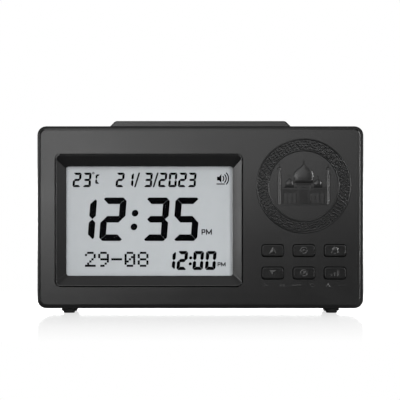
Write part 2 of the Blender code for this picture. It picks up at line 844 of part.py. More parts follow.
def add_mating_lip(shell, tools):
    """The tongue round the rear cover's edge that locates it inside the front housing."""
    outer = grow(BODY_RECT, -WALL - PIECE_GAP)
    inner = grow(outer, -LIP_THICKNESS)
    rooted = grow(BODY_RECT, -WALL / 2)
    outer_radius = CORNER_RADIUS - WALL - PIECE_GAP
    front, root = FRONT_HOUSING_DEPTH - LIP_REACH, REAR_COVER_START + EMBED
    lip = depth_loft(
        "mating_lip",
        [
            (outer, outer_radius, front),
            (outer, outer_radius, root),
            (rooted, CORNER_RADIUS - WALL / 2, root),
            (rooted, CORNER_RADIUS - WALL / 2, LIP_END),
            (inner, outer_radius - LIP_THICKNESS, LIP_END),
            (inner, outer_radius - LIP_THICKNESS, front),
        ],
        None,
        tools,
        ring=True,
    )
    join(shell, lip)


def add_case_tubes(shell, tools):
    """Four tubes that take the case screws from the back, each with a floor that its screw head clamps."""
    front = FRONT_HOUSING_DEPTH - CASE_BOSS_BACKSET + PIECE_GAP
    floor = front + CASE_TUBE_FLOOR
    bore = CASE_SCREW_HEAD_RADIUS + PIECE_GAP
    for i, (x, z) in enumerate(case_corner_places(CASE_BOSS_INSET)):
        tube = cylinder(
            f"case_tube_{i + 1}",
            bore + CASE_TUBE_WALL,
            (x, at_depth(front), z),
            (x, at_depth(REAR_INNER_DEPTH + EMBED), z),
            None,
            tools,
        )
        counterbore = cylinder(
            f"case_counterbore_{i + 1}",
            bore,
            (x, at_depth(floor), z),
            (x, at_depth(BODY_DEPTH + OVERRUN), z),
            None,
            tools,
        )
        through = cylinder(
            f"case_through_{i + 1}",
            CASE_SCREW_RADIUS + PIECE_GAP,
            (x, at_depth(front - OVERRUN), z),
            (x, at_depth(floor + OVERRUN), z),
            None,
            tools,
            SMALL_ROUND,
        )
        join(shell, tube)
        cut(shell, counterbore, through)


def speaker_screw_places():
    """(x, z) of the three screws round the speaker's rim."""
    reach = SPEAKER_RADIUS + 2 * PIECE_GAP + SPEAKER_POST_RADIUS
    return [
        (SPEAKER_X + reach * math.cos(angle), SPEAKER_Z + reach * math.sin(angle))
        for angle in (math.radians(90), math.radians(210), math.radians(330))
    ]


def add_speaker_seat(shell, tools):
    """The seat ring, the three screw posts and the slotted grille behind the speaker."""
    inner = SPEAKER_RADIUS + PIECE_GAP
    seat = turned(
        "speaker_seat",
        [
            (inner + SPEAKER_SEAT_WALL, SPEAKER_SEAT_HEIGHT),
            (inner + SPEAKER_SEAT_WALL, -EMBED),
            (inner, -EMBED),
            (inner, SPEAKER_SEAT_HEIGHT),
        ],
        None,
        tools,
        LARGE_ROUND,
        ring=True,
    )
    join(shell, stand(seat, (SPEAKER_X, at_depth(REAR_INNER_DEPTH), SPEAKER_Z), "front"))
    post_end = SPEAKER_RIM_START - PIECE_GAP
    for i, (x, z) in enumerate(speaker_screw_places()):
        post = cylinder(
            f"speaker_post_{i + 1}",
            SPEAKER_POST_RADIUS,
            (x, at_depth(REAR_INNER_DEPTH + EMBED), z),
            (x, at_depth(post_end), z),
            None,
            tools,
            SMALL_ROUND,
        )
        pilot = cylinder(
            f"speaker_pilot_{i + 1}",
            SPEAKER_SCREW_RADIUS + PIECE_GAP,
            (x, at_depth(post_end - OVERRUN), z),
            (x, at_depth(post_end - PIECE_GAP + SPEAKER_SCREW_LENGTH + PIECE_GAP), z),
            None,
            tools,
            SMALL_ROUND,
        )
        join(shell, post)
        cut(shell, pilot)
    for i in range(GRILLE_SLOTS):
        offset = (i - (GRILLE_SLOTS - 1) / 2) * GRILLE_SLOT_PITCH
        reach = math.sqrt(max(GRILLE_RADIUS**2 - offset**2, GRILLE_SLOT_WIDTH**2))
        rect = around(SPEAKER_X + offset, SPEAKER_Z, GRILLE_SLOT_WIDTH, 2 * reach)
        slot = block(
            f"grille_slot_{i + 1}",
            rect,
            REAR_INNER_DEPTH - OVERRUN,
            BODY_DEPTH + OVERRUN,
            None,
            tools,
            GRILLE_SLOT_WIDTH / 2,
        )
        cut(shell, slot)


def door_hole_rect():
    return grow(BAY_RECT, BAY_LEDGE)


def tongue_rects(extra):
    """The door tongues' rectangles above the bay, widened by extra for the slots that they swing in."""
    hole_top = door_hole_rect()[3]
    return [
        (
            BAY_X + side * DOOR_TONGUE_SPACING / 2 - DOOR_TONGUE_WIDTH / 2 - extra,
            BAY_X + side * DOOR_TONGUE_SPACING / 2 + DOOR_TONGUE_WIDTH / 2 + extra,
            hole_top - BAY_LEDGE - DOOR_TONGUE_REACH,
            hole_top + DOOR_TONGUE_REACH + extra,
        )
        for side in (-1, 1)
    ]


def add_battery_bay(shell, tools):
    """The tray for the cells, open at the back, with a ledge for the door and slots for its tongues."""
    tray = block(
        "bay_tray",
        grow(BAY_RECT, BAY_WALL),
        BAY_FLOOR - BAY_WALL,
        REAR_INNER_DEPTH + EMBED,
        None,
        tools,
        DOOR_CORNER_RADIUS,
    )
    cavity = block("bay_cavity", BAY_RECT, BAY_FLOOR, BODY_DEPTH + OVERRUN, None, tools)
    recess = block(
        "door_recess", door_hole_rect(), DOOR_SEAT, BODY_DEPTH + OVERRUN, None, tools, DOOR_CORNER_RADIUS + DOOR_GAP
    )
    join(shell, tray)
    cut(shell, cavity, recess)
    tongue_front = DOOR_SEAT - DOOR_TONGUE_THICKNESS - DOOR_TONGUE_SWEEP
    for i, rect in enumerate(tongue_rects(PIECE_GAP)):
        cut(shell, block(f"tongue_slot_{i + 1}", rect, tongue_front, REAR_INNER_DEPTH, None, tools))
    scoop = cylinder(
        "door_scoop",
        SCOOP_RADIUS,
        (BAY_X, at_depth(BODY_DEPTH - SCOOP_DEPTH), door_hole_rect()[2]),
        (BAY_X, at_depth(BODY_DEPTH + OVERRUN), door_hole_rect()[2]),
        None,
        tools,
    )
    cut(shell, scoop)


def add_socket_mount(shell, tools):
    """The hole for the power socket, the two ribs that grip its body, and the reset hole above it."""
    hole = cylinder(
        "socket_hole",
        JACK_NOSE_RADIUS + PIECE_GAP,
        (JACK_X, at_depth(REAR_INNER_DEPTH - OVERRUN), JACK_Z),
        (JACK_X, at_depth(BODY_DEPTH + OVERRUN), JACK_Z),
        None,
        tools,
    )
    reset = cylinder(
        "reset_hole",
        RESET_HOLE_RADIUS,
        (JACK_X, at_depth(REAR_INNER_DEPTH - OVERRUN), JACK_Z + RESET_ABOVE_JACK),
        (JACK_X, at_depth(BODY_DEPTH + OVERRUN), JACK_Z + RESET_ABOVE_JACK),
        None,
        tools,
        SMALL_ROUND,
    )
    rib_x = JACK_WIDTH / 2 + PIECE_GAP + JACK_RIB_THICKNESS / 2
    for side in (-1, 1):
        rib = block(
            "socket_rib_left" if side < 0 else "socket_rib_right",
            around(JACK_X + side * rib_x, JACK_Z, JACK_RIB_THICKNESS, JACK_HEIGHT),
            JACK_END - JACK_LENGTH + JACK_RIB_SHORTFALL,
            REAR_INNER_DEPTH + EMBED,
            None,
            tools,
        )
        join(shell, rib)
    cut(shell, hole, reset)


def build_display_bezel(parts):
    """The funnel-shaped frame round the display, dropped into the face from behind."""
    rim = grow(BEZEL_HOLE, -PIECE_GAP)
    window = window_rect()
    pocket = lens_pocket_rect()
    pocket_outside = grow(pocket, LENS_POCKET_WALL)
    flange = grow(BEZEL_HOLE, BEZEL_FLANGE_REACH)
    rim_radius = BEZEL_CORNER_RADIUS - PIECE_GAP
    window_back = RECESS_DEPTH + WINDOW_EDGE_THICKNESS
    return depth_loft(
        "display_bezel",
        [
            (rim, rim_radius, BEZEL_EDGE_ROUND),
            (grow(rim, -BEZEL_EDGE_ROUND), rim_radius, 0),
            (grow(rim, -BEZEL_RIM), rim_radius - BEZEL_RIM / 2, 0),
            (window, WINDOW_CORNER_RADIUS, RECESS_DEPTH),
            (window, WINDOW_CORNER_RADIUS, window_back),
            (pocket, WINDOW_CORNER_RADIUS, window_back),
            (pocket, WINDOW_CORNER_RADIUS, LENS_END),
            (pocket_outside, WINDOW_CORNER_RADIUS + LENS_POCKET_WALL, LENS_END),
            (pocket_outside, WINDOW_CORNER_RADIUS + LENS_POCKET_WALL, BEZEL_FLANGE_END),
            (flange, BEZEL_CORNER_RADIUS, BEZEL_FLANGE_END),
            (flange, BEZEL_CORNER_RADIUS, FLANGE_START),
            (rim, rim_radius, FLANGE_START),
        ],
        bezel_plastic(),
        parts,
        ring=True,
    )


def window_rect():
    left, right, bottom, top = BEZEL_HOLE
    return (left + SLOPE_LEFT, right - SLOPE_RIGHT, bottom + SLOPE_BOTTOM, top - SLOPE_TOP)


def lens_pocket_rect():
    return grow(window_rect(), LENS_OVERLAP)


def lcd_rect():
    return grow(lens_pocket_rect(), LENS_POCKET_WALL)


def build_display_stack(parts, tools):
    """Lens, liquid-crystal glass, light guide, its lamp, the frame round them and the contact strip."""
    clear = material("display_lens", (0.80, 0.85, 0.85), 0.05)
    glass = material("lcd_glass", (0.50, 0.53, 0.54), 0.20)
    milky = material("light_guide", (0.80, 0.82, 0.80), 0.40)
    white = material("holder_plastic", (0.75, 0.75, 0.73), 0.50)
    lamp = material("led_body", (0.85, 0.82, 0.60), 0.30)
    elastomer = material("zebra_rubber", (0.60, 0.35, 0.35), 0.70)
    lens = grow(lens_pocket_rect(), -PIECE_GAP)
    block("display_lens", lens, LENS_START, LENS_END, clear, parts)
    left, right, bottom, top = lcd_rect()
    panel = block("lcd_panel", lcd_rect(), LCD_START, LCD_GLASS_END, glass, parts)
    back_glass = block(
        "lcd_back_glass", (left, right, bottom + LCD_LEDGE, top), LCD_GLASS_END - EMBED, LCD_END, None, tools
    )
    join(panel, back_glass)
    guide_right = right - LED_LENGTH - 2 * PIECE_GAP
    guide_rect = (left, guide_right, bottom + LCD_LEDGE, top)
    block("light_guide", guide_rect, LIGHT_GUIDE_START, LIGHT_GUIDE_END, milky, parts)
    led_rect = around(right - PIECE_GAP - LED_LENGTH / 2, (bottom + LCD_LEDGE + top) / 2, LED_LENGTH, LED_HEIGHT)
    block("backlight_led", led_rect, LIGHT_GUIDE_START, LIGHT_GUIDE_END, lamp, parts)
    zebra_z = bottom + (LCD_LEDGE - PIECE_GAP) / 2
    zebra_rect = around((left + right) / 2, zebra_z, right - left - 2 * ZEBRA_END_INSET, ZEBRA_HEIGHT)
    block("zebra_strip", zebra_rect, LCD_GLASS_END + PIECE_GAP, LIGHT_GUIDE_END, elastomer, parts)
    inner = grow(lcd_rect(), PIECE_GAP)
    outer = grow(inner, HOLDER_WALL)
    front = BEZEL_FLANGE_END + PIECE_GAP
    holder = block("lcd_holder", outer, front, LIGHT_GUIDE_END, white, parts)
    cut(holder, block("lcd_holder_opening", inner, front - OVERRUN, LIGHT_GUIDE_END + OVERRUN, None, tools))


def build_main_board(parts, tools):
    """The circuit board across the whole front, with the parts that a clock board carries."""
    board = block("main_board", board_rect(), BOARD_START, BOARD_END, board_laminate(), parts)
    for i, (x, z) in enumerate(board_post_places()):
        hole = cylinder(
            f"board_hole_{i + 1}",
            BOARD_SCREW_RADIUS + BOARD_HOLE_CLEARANCE,
            (x, at_depth(BOARD_START - OVERRUN), z),
            (x, at_depth(BOARD_END + OVERRUN), z),
            None,
            tools,
            SMALL_ROUND,
        )
        cut(board, hole)
        build_screw(
            f"board_screw_{i + 1}",
            (x, at_depth(BOARD_END + PIECE_GAP), z),
            "back",
            BOARD_SCREW_RADIUS,
            BOARD_SCREW_LENGTH,
            BOARD_SCREW_HEAD_RADIUS,
            BOARD_SCREW_HEAD_HEIGHT,
            parts,
        )
    left, _, bottom, top = board_rect()
    face = BOARD_END + PIECE_GAP
    middle = (bottom + top) / 2
    epoxy = material("chip_epoxy", (0.01, 0.01, 0.011), 0.35)
    can = material("crystal_can", (0.65, 0.65, 0.66), 0.30, 1.0)
    sleeve = material("capacitor_sleeve", (0.02, 0.03, 0.09), 0.40)
    bead = material("thermistor_bead", (0.35, 0.16, 0.05), 0.50)
    chip = turned(
        "clock_chip",
        [
            (0, CHIP_HEIGHT),
            (CHIP_RADIUS * 0.5, CHIP_HEIGHT * 0.9),
            (CHIP_RADIUS * 0.85, CHIP_HEIGHT * 0.5),
            (CHIP_RADIUS, 0),
            (0, 0),
        ],
        epoxy,
        parts,
    )
    stand(chip, (left + CHIP_FROM_LEFT, at_depth(face), middle), "back")
    crystal_x = left + CHIP_FROM_LEFT + CRYSTAL_OFFSET
    crystal_y = at_depth(face + CRYSTAL_RADIUS)
    cylinder(
        "quartz_crystal",
        CRYSTAL_RADIUS,
        (crystal_x, crystal_y, middle),
        (crystal_x, crystal_y, middle + CRYSTAL_LENGTH),
        can,
        parts,
        SMALL_ROUND,
    )
    capacitor_x = left + CAPACITOR_FROM_LEFT
    cylinder(
        "filter_capacitor",
        CAPACITOR_RADIUS,
        (capacitor_x, at_depth(face), middle),
        (capacitor_x, at_depth(face + CAPACITOR_HEIGHT), middle),
        sleeve,
        parts,
    )
    thermistor_z = bottom + THERMISTOR_INSET
    cylinder(
        "thermistor",
        THERMISTOR_RADIUS,
        (capacitor_x, at_depth(face + THERMISTOR_RADIUS), thermistor_z),
        (capacitor_x, at_depth(face + THERMISTOR_RADIUS), thermistor_z + THERMISTOR_LENGTH),
        bead,
        parts,
        SMALL_ROUND,
        THERMISTOR_RADIUS / 2,
    )


def build_screw(name, seat, head_side, radius, length, head_radius, head_height, parts, drive=None):
    """A pan-head screw whose head stands on its seat, with an optional round drive socket."""
    top = [(0, head_height)]
    if drive:
        drive_radius, drive_depth = drive
        floor = head_height - drive_depth
        top = [(0, floor), (drive_radius, floor), (drive_radius, head_height)]
    profile = [
        *top,
        (head_radius * 0.8, head_height),
        (head_radius, head_height / 2),
        (head_radius, 0),
        (radius, 0),
        (radius, radius - length),
        (radius / 2, -length),
        (0, -length),
    ]
    screw = turned(name, profile, steel(), parts, SMALL_ROUND)
    return stand(screw, seat, head_side)


def build_keys(parts, tools):
    """Six dished keycaps, each with a flange and a plunger, and the membrane that springs them."""
    silicone = material("membrane_silicone", (0.45, 0.45, 0.44), 0.60)
    plunger_end = DOME_TOP - PIECE_GAP
    for name, x, z in key_places():
        cap = around(x, z, KEY_WIDTH, KEY_HEIGHT)
        flange = grow(cap, KEY_FLANGE_REACH)
        plunger = around(x, z, KEY_PLUNGER_WIDTH, KEY_PLUNGER_HEIGHT)
        key = depth_loft(
            name,
            [
                (grow(cap, -KEY_RIM), KEY_CORNER_RADIUS - KEY_RIM / 2, KEY_DISH - KEY_PROUD),
                (grow(cap, -KEY_EDGE_ROUND), KEY_CORNER_RADIUS, -KEY_PROUD),
                (cap, KEY_CORNER_RADIUS, KEY_EDGE_ROUND - KEY_PROUD),
                (cap, KEY_CORNER_RADIUS, FLANGE_START),
                (flange, KEY_CORNER_RADIUS, FLANGE_START),
                (flange, KEY_CORNER_RADIUS, KEY_FLANGE_END),
                (plunger, PIECE_GAP, KEY_FLANGE_END),
                (plunger, PIECE_GAP, plunger_end),
            ],
            key_plastic(),
            parts,
            steps=4,
        )
        move_origin(key, (x, FRONT_Y, z))
    outline = (KEY_COLUMNS[0], KEY_COLUMNS[-1], KEY_ROWS[-1], KEY_ROWS[0])
    reach_x = KEY_WIDTH / 2 + MEMBRANE_MARGIN
    reach_z = KEY_HEIGHT / 2 + MEMBRANE_MARGIN
    rect = (outline[0] - reach_x, outline[1] + reach_x, outline[2] - reach_z, outline[3] + reach_z)
    membrane = block(
        "key_membrane", rect, MEMBRANE_START, MEMBRANE_START + MEMBRANE_THICKNESS, silicone, parts
    )
    for name, x, z in key_places():
        dome = cylinder(
            f"{name}_dome",
            DOME_BASE_RADIUS,
            (x, at_depth(MEMBRANE_START + EMBED), z),
            (x, at_depth(DOME_TOP), z),
            None,
            tools,
            SMALL_ROUND,
            DOME_TOP_RADIUS,
        )
        join(membrane, dome)


def build_snooze_bar(parts, tools):
    """The hollow press bar with 45-degree ends, a flange inside the case, two guide pins and a plunger."""
    half = BAR_WIDTH / 2
    start, end = BAR_SETBACK, BAR_SETBACK + BAR_DEPTH
    full = (-half, half, start, end)
    shoulder_half = half - BAR_PROUD + BAR_EDGE_ROUND
    shoulder = (-shoulder_half, shoulder_half, start, end)
    crown = grow((-half + BAR_PROUD, half - BAR_PROUD, start, end), -BAR_EDGE_ROUND)
    flange = grow(full, BAR_FLANGE_REACH)
    inside = grow(full, -BAR_WALL)
    ceiling_half = half - BAR_PROUD - BAR_WALL
    ceiling = (-ceiling_half, ceiling_half, inside[2], inside[3])
    top = BODY_TOP + BAR_PROUD
    flange_top = BODY_TOP - WALL - PIECE_GAP
    flange_bottom = flange_top - BAR_FLANGE_THICKNESS
    ceiling_z = top - BAR_WALL
    radius = BAR_CORNER_RADIUS
    bar = height_loft(
        "snooze_bar",
        [
            (ceiling, radius, ceiling_z),
            (inside, radius, BODY_TOP - BAR_WALL / 2),
            (inside, radius, flange_bottom),
            (flange, radius, flange_bottom),
            (flange, radius, flange_top),
            (full, radius, flange_top),
            (full, radius, BODY_TOP),
            (shoulder, radius, top - BAR_EDGE_ROUND),
            (crown, radius, top),
        ],
        case_plastic(),
        parts,
        steps=4,
    )
    y = at_depth(BAR_MIDDLE)
    guide_end = SNOOZE_BOARD_TOP + BAR_TRAVEL + PIECE_GAP
    for side, x in (("left", -BAR_GUIDE_X), ("right", BAR_GUIDE_X)):
        guide = cylinder(
            f"bar_guide_{side}",
            BAR_GUIDE_RADIUS,
            (x, y, guide_end),
            (x, y, ceiling_z + EMBED),
            None,
            tools,
            SMALL_ROUND,
        )
        join(bar, guide)
    dome_top = SNOOZE_BOARD_TOP + PIECE_GAP + SNOOZE_DOME_HEIGHT
    plunger = cylinder(
        "bar_plunger",
        BAR_PLUNGER_RADIUS,
        (0, y, dome_top + PIECE_GAP),
        (0, y, ceiling_z + EMBED),
        None,
        tools,
        SMALL_ROUND,
    )
    join(bar, plunger)
    return move_origin(bar, (0, y, BODY_TOP))


def build_snooze_switch(parts, tools):
    """The small board under the bar, the dome that makes its contact, and the bar's two return springs."""
    half = BAR_WIDTH / 2 + SNOOZE_BOARD_OVERHANG
    start, end = BAR_SETBACK + SNOOZE_BOARD_INSET, BAR_SETBACK + BAR_DEPTH - SNOOZE_BOARD_INSET
    rect = (-half, half, SNOOZE_BOARD_BOTTOM, SNOOZE_BOARD_TOP)
    board = block("snooze_board", rect, start, end, board_laminate(), parts)
    for i, (x, depth) in enumerate(stake_places()):
        y = at_depth(depth)
        hole = cylinder(
            f"stake_hole_{i + 1}",
            STAKE_PIN_RADIUS + PIECE_GAP,
            (x, y, SNOOZE_BOARD_BOTTOM - OVERRUN),
            (x, y, SNOOZE_BOARD_TOP + OVERRUN),
            None,
            tools,
            SMALL_ROUND,
        )
        cut(board, hole)
    silicone = material("membrane_silicone", (0.45, 0.45, 0.44), 0.60)
    y = at_depth(BAR_MIDDLE)
    foot = SNOOZE_BOARD_TOP + PIECE_GAP
    cylinder(
        "snooze_dome",
        SNOOZE_DOME_RADIUS,
        (0, y, foot),
        (0, y, foot + SNOOZE_DOME_HEIGHT),
        silicone,
        parts,
        MEDIUM_ROUND,
        BAR_PLUNGER_RADIUS,
    )
    ceiling_z = BODY_TOP + BAR_PROUD - BAR_WALL
    bottom = foot + BAR_SPRING_WIRE
    length = ceiling_z - PIECE_GAP - BAR_SPRING_WIRE - bottom
    for side, x in (("left", -BAR_GUIDE_X), ("right", BAR_GUIDE_X)):
        turns = coil(BAR_SPRING_RADIUS, BAR_SPRING_RADIUS, length, BAR_SPRING_TURNS)
        points = [Vector((x, y, bottom)) + point for point in turns]
        wire(f"snooze_spring_{side}", points, BAR_SPRING_WIRE, spring_steel(), parts)


def build_feet(parts):
    """Four push-in rubber feet: a tapered pad, a stem through the case floor and a barb above it."""
    pad_top = BODY_BOTTOM - PIECE_GAP
    barb = BODY_BOTTOM + WALL + PIECE_GAP
    for name, x, depth in foot_places():
        foot = turned(
            name,
            [
                (0, barb + FOOT_BARB_LENGTH),
                (FOOT_TIP_RADIUS, barb + FOOT_BARB_LENGTH),
                (FOOT_BARB_RADIUS, barb),
                (FOOT_STEM_RADIUS, barb),
                (FOOT_STEM_RADIUS, pad_top),
                (FOOT_RADIUS, pad_top),
                (FOOT_RADIUS, pad_top - FOOT_RIM),
                (FOOT_TOE_RADIUS, 0),
                (0, 0),
            ],
            rubber(),
            parts,
        )
        stand(foot, (x, at_depth(depth), 0))


def build_case_screws(parts):
    seat = FRONT_HOUSING_DEPTH - CASE_BOSS_BACKSET + PIECE_GAP + CASE_TUBE_FLOOR + PIECE_GAP
    for i, (x, z) in enumerate(case_corner_places(CASE_BOSS_INSET)):
        build_screw(
            f"case_screw_{i + 1}",
            (x, at_depth(seat), z),
            "back",
            CASE_SCREW_RADIUS,
            CASE_SCREW_LENGTH,
            CASE_SCREW_HEAD_RADIUS,
            CASE_SCREW_HEAD_HEIGHT,
            parts,
            drive=(CASE_SCREW_DRIVE_RADIUS, CASE_SCREW_DRIVE_DEPTH),
        )


def build_speaker(parts):
    """Gasket, pressed basket, paper cone and magnet, facing the grille at the back, and three screws."""
    foam = material("gasket_foam", (0.02, 0.02, 0.02), 0.95)
    plated = material("speaker_steel", (0.40, 0.40, 0.41), 0.45, 1.0)
    ferrite = material("magnet_ferrite", (0.03, 0.03, 0.032), 0.60)
    paper = material("cone_paper", (0.05, 0.05, 0.05), 0.85)
    place = Vector((SPEAKER_X, at_depth(REAR_INNER_DEPTH), SPEAKER_Z))
    inner = SPEAKER_RADIUS - SPEAKER_RIM_WIDTH
    gasket = turned(
        "speaker_gasket",
        [
            (SPEAKER_RADIUS, GASKET_THICKNESS),
            (SPEAKER_RADIUS, 0),
            (inner, 0),
            (inner, GASKET_THICKNESS),
        ],
        foam,
        parts,
        LARGE_ROUND,
        ring=True,
    )
    stand(gasket, (place.x, at_depth(GASKET_START + GASKET_THICKNESS), place.z), "front")
    rim, skin, deep = SPEAKER_RIM_THICKNESS, SPEAKER_SKIN, SPEAKER_BASKET_DEPTH
    neck = MAGNET_RADIUS * 0.8
    basket = turned(
        "speaker_basket",
        [
            (0, deep),
            (neck, deep),
            (inner, SPEAKER_BASKET_STEP),
            (inner, rim),
            (SPEAKER_RADIUS, rim),
            (SPEAKER_RADIUS, 0),
            (inner - skin, 0),
            (inner - skin, SPEAKER_BASKET_STEP - skin / 2),
            (neck - skin, deep - skin),
            (0, deep - skin),
        ],
        plated,
        parts,
        LARGE_ROUND,
    )
    rim_back = SPEAKER_RIM_START + rim
    stand(basket, (place.x, at_depth(rim_back), place.z), "front")
    magnet = turned(
        "speaker_magnet",
        [
            (0, MAGNET_THICKNESS),
            (MAGNET_RADIUS - skin, MAGNET_THICKNESS),
            (MAGNET_RADIUS, MAGNET_THICKNESS - skin),
            (MAGNET_RADIUS, skin),
            (MAGNET_RADIUS - skin, 0),
            (0, 0),
        ],
        ferrite,
        parts,
        MEDIUM_ROUND,
    )
    stand(magnet, (place.x, at_depth(rim_back - deep - PIECE_GAP), place.z), "front")
    edge = inner - skin - PIECE_GAP
    thin = CONE_THICKNESS
    roll = edge - SURROUND_WIDTH / 2
    fold = edge - SURROUND_WIDTH
    cone = turned(
        "speaker_cone",
        [
            (0, CONE_DEPTH - thin),
            (CONE_CAP_RADIUS, CONE_DEPTH + thin),
            (fold, thin * 2),
            (roll, 0),
            (edge - thin, thin * 2),
            (edge - thin, thin),
            (roll, -thin),
            (fold, thin),
            (CONE_CAP_RADIUS, CONE_DEPTH),
            (CONE_CAP_RADIUS * 0.6, CONE_DEPTH - thin * 2.5),
            (0, CONE_DEPTH - thin * 3.5),
        ],
        paper,
        parts,
        MEDIUM_ROUND,
    )
    stand(cone, (place.x, at_depth(rim_back - thin), place.z), "front")
    for i, (x, z) in enumerate(speaker_screw_places()):
        build_screw(
            f"speaker_screw_{i + 1}",
            (x, at_depth(SPEAKER_RIM_START - 2 * PIECE_GAP), z),
            "front",
            SPEAKER_SCREW_RADIUS,
            SPEAKER_SCREW_LENGTH,
            SPEAKER_SCREW_HEAD_RADIUS,
            SPEAKER_SCREW_HEAD_HEIGHT,
            parts,
        )


def build_battery_door(parts, tools):
    """The door over the cells: two tongues at its top edge, a spring latch cut into its lower edge."""
    panel_rect = grow(door_hole_rect(), -DOOR_GAP)
    panel_start = BODY_DEPTH - DOOR_THICKNESS
    door = block(
        "battery_door", panel_rect, panel_start, BODY_DEPTH, case_plastic(), parts, DOOR_CORNER_RADIUS
    )
    tongue_end = REAR_INNER_DEPTH - PIECE_GAP
    tongue_start = tongue_end - DOOR_TONGUE_THICKNESS
    for i, (left, right, low, high) in enumerate(tongue_rects(0)):
        panel_top = panel_rect[3]
        root = block(
            f"tongue_root_{i + 1}", (left, right, low, panel_top), tongue_start, panel_start + EMBED, None, tools
        )
        hook_rect = (left, right, panel_top - DOOR_TONGUE_REACH, high)
        hook = block(f"tongue_{i + 1}", hook_rect, tongue_start, tongue_end, None, tools)
        join(door, root, hook)
    bottom = panel_rect[2]
    slot_x = LATCH_WIDTH / 2 + LATCH_SLOT / 2
    for side in (-1, 1):
        rect = (
            BAY_X + side * slot_x - LATCH_SLOT / 2,
            BAY_X + side * slot_x + LATCH_SLOT / 2,
            bottom - OVERRUN,
            bottom + LATCH_HEIGHT,
        )
        name = "latch_slot_left" if side < 0 else "latch_slot_right"
        cut(door, block(name, rect, panel_start - OVERRUN, BODY_DEPTH + OVERRUN, None, tools))
    tooth_rect = (
        BAY_X - LATCH_WIDTH / 2 + LATCH_SLOT,
        BAY_X + LATCH_WIDTH / 2 - LATCH_SLOT,
        bottom + BAY_LEDGE,
        bottom + BAY_LEDGE + LATCH_TOOTH_HEIGHT,
    )
    tooth = block("latch_tooth", tooth_rect, panel_start - LATCH_TOOTH_DEPTH, panel_start + EMBED, None, tools)
    join(door, tooth)
    for i in range(3):
        z = bottom + LATCH_SLOT + (2 * i + 1) * LATCH_RIB_HEIGHT * 2
        rect = (tooth_rect[0], tooth_rect[1], z, z + LATCH_RIB_HEIGHT * 2)
        groove = block(
            f"latch_groove_{i + 1}", rect, BODY_DEPTH - LATCH_RIB_HEIGHT, BODY_DEPTH + OVERRUN, None, tools
        )
        cut(door, groove)
    return move_origin(door, (BAY_X, at_depth(BODY_DEPTH), door_hole_rect()[3] - DOOR_GAP / 2))


def cell_rows():
    """(z, sense) of the cells from the top; sense is +1 where the nub points right."""
    top = BAY_Z + (CELL_COUNT - 1) / 2 * CELL_PITCH
    return [(top - i * CELL_PITCH, 1 if i % 2 == 0 else -1) for i in range(CELL_COUNT)]


def build_cells(parts):
    """Cylindrical cells lying along the bay, each the other way round from its neighbour."""
    sleeve = material("cell_sleeve", (0.35, 0.36, 0.38), 0.40, 0.3)
    spring_room = CONTACT_THICKNESS + CONTACT_SPRING_LENGTH + 3 * PIECE_GAP
    soft = CELL_EDGE_ROUND
    for i, (z, sense) in enumerate(cell_rows()):
        base_x = BAY_X - sense * (BAY_LENGTH / 2 - spring_room)
        can = CELL_LENGTH - CELL_NUB_LENGTH
        cell = turned(
            f"battery_cell_{i + 1}",
            [
                (0, CELL_LENGTH),
                (CELL_NUB_RADIUS, CELL_LENGTH),
                (CELL_NUB_RADIUS, can),
                (CELL_RADIUS - soft, can),
                (CELL_RADIUS, can - soft),
                (CELL_RADIUS, soft),
                (CELL_RADIUS - soft, 0),
                (0, 0),
            ],
            sleeve,
            parts,
            MEDIUM_ROUND,
        )
        cell.location = (base_x, at_depth(CELL_AXIS_DEPTH), z)
        cell.rotation_euler = Euler((0, sense * math.pi / 2, 0))


def contact_plate(name, side, low, high, parts):
    """A sprung-steel plate against one end wall of the bay, between two heights."""
    wall_x = BAY_X + side * BAY_LENGTH / 2
    near = wall_x - side * PIECE_GAP
    far = near - side * CONTACT_THICKNESS
    rect = (min(near, far), max(near, far), low, high)
    start = BAY_FLOOR + PIECE_GAP
    return block(name, rect, start, DOOR_SEAT - CONTACT_INSET, spring_steel(), parts)


def build_contacts(parts):
    """The end plates, which link the cells in a row, and the conical springs at the flat ends."""
    rows = [z for z, _ in cell_rows()]
    reach = CELL_RADIUS - CONTACT_INSET
    contact_plate("contact_plate_negative", -1, rows[0] - reach, rows[0] + reach, parts)
    contact_plate("contact_link_right", 1, rows[1] - reach, rows[0] + reach, parts)
    contact_plate("contact_link_left", -1, rows[2] - reach, rows[1] + reach, parts)
    contact_plate("contact_plate_positive", 1, rows[2] - reach, rows[2] + reach, parts)
    for i, (z, sense) in enumerate(cell_rows()):
        thick = CONTACT_SPRING_WIRE
        length = CONTACT_SPRING_LENGTH - 2 * thick
        foot_x = BAY_X - sense * (BAY_LENGTH / 2 - CONTACT_THICKNESS - 2 * PIECE_GAP - thick)
        turns = coil(CONTACT_SPRING_RADIUS, CONTACT_SPRING_TIP_RADIUS, length, CONTACT_SPRING_TURNS)
        y = at_depth(CELL_AXIS_DEPTH)
        points = [(foot_x + sense * p.z, y + p.x, z + p.y) for p in turns]
        wire(f"contact_spring_{i + 1}", points, thick, spring_steel(), parts)


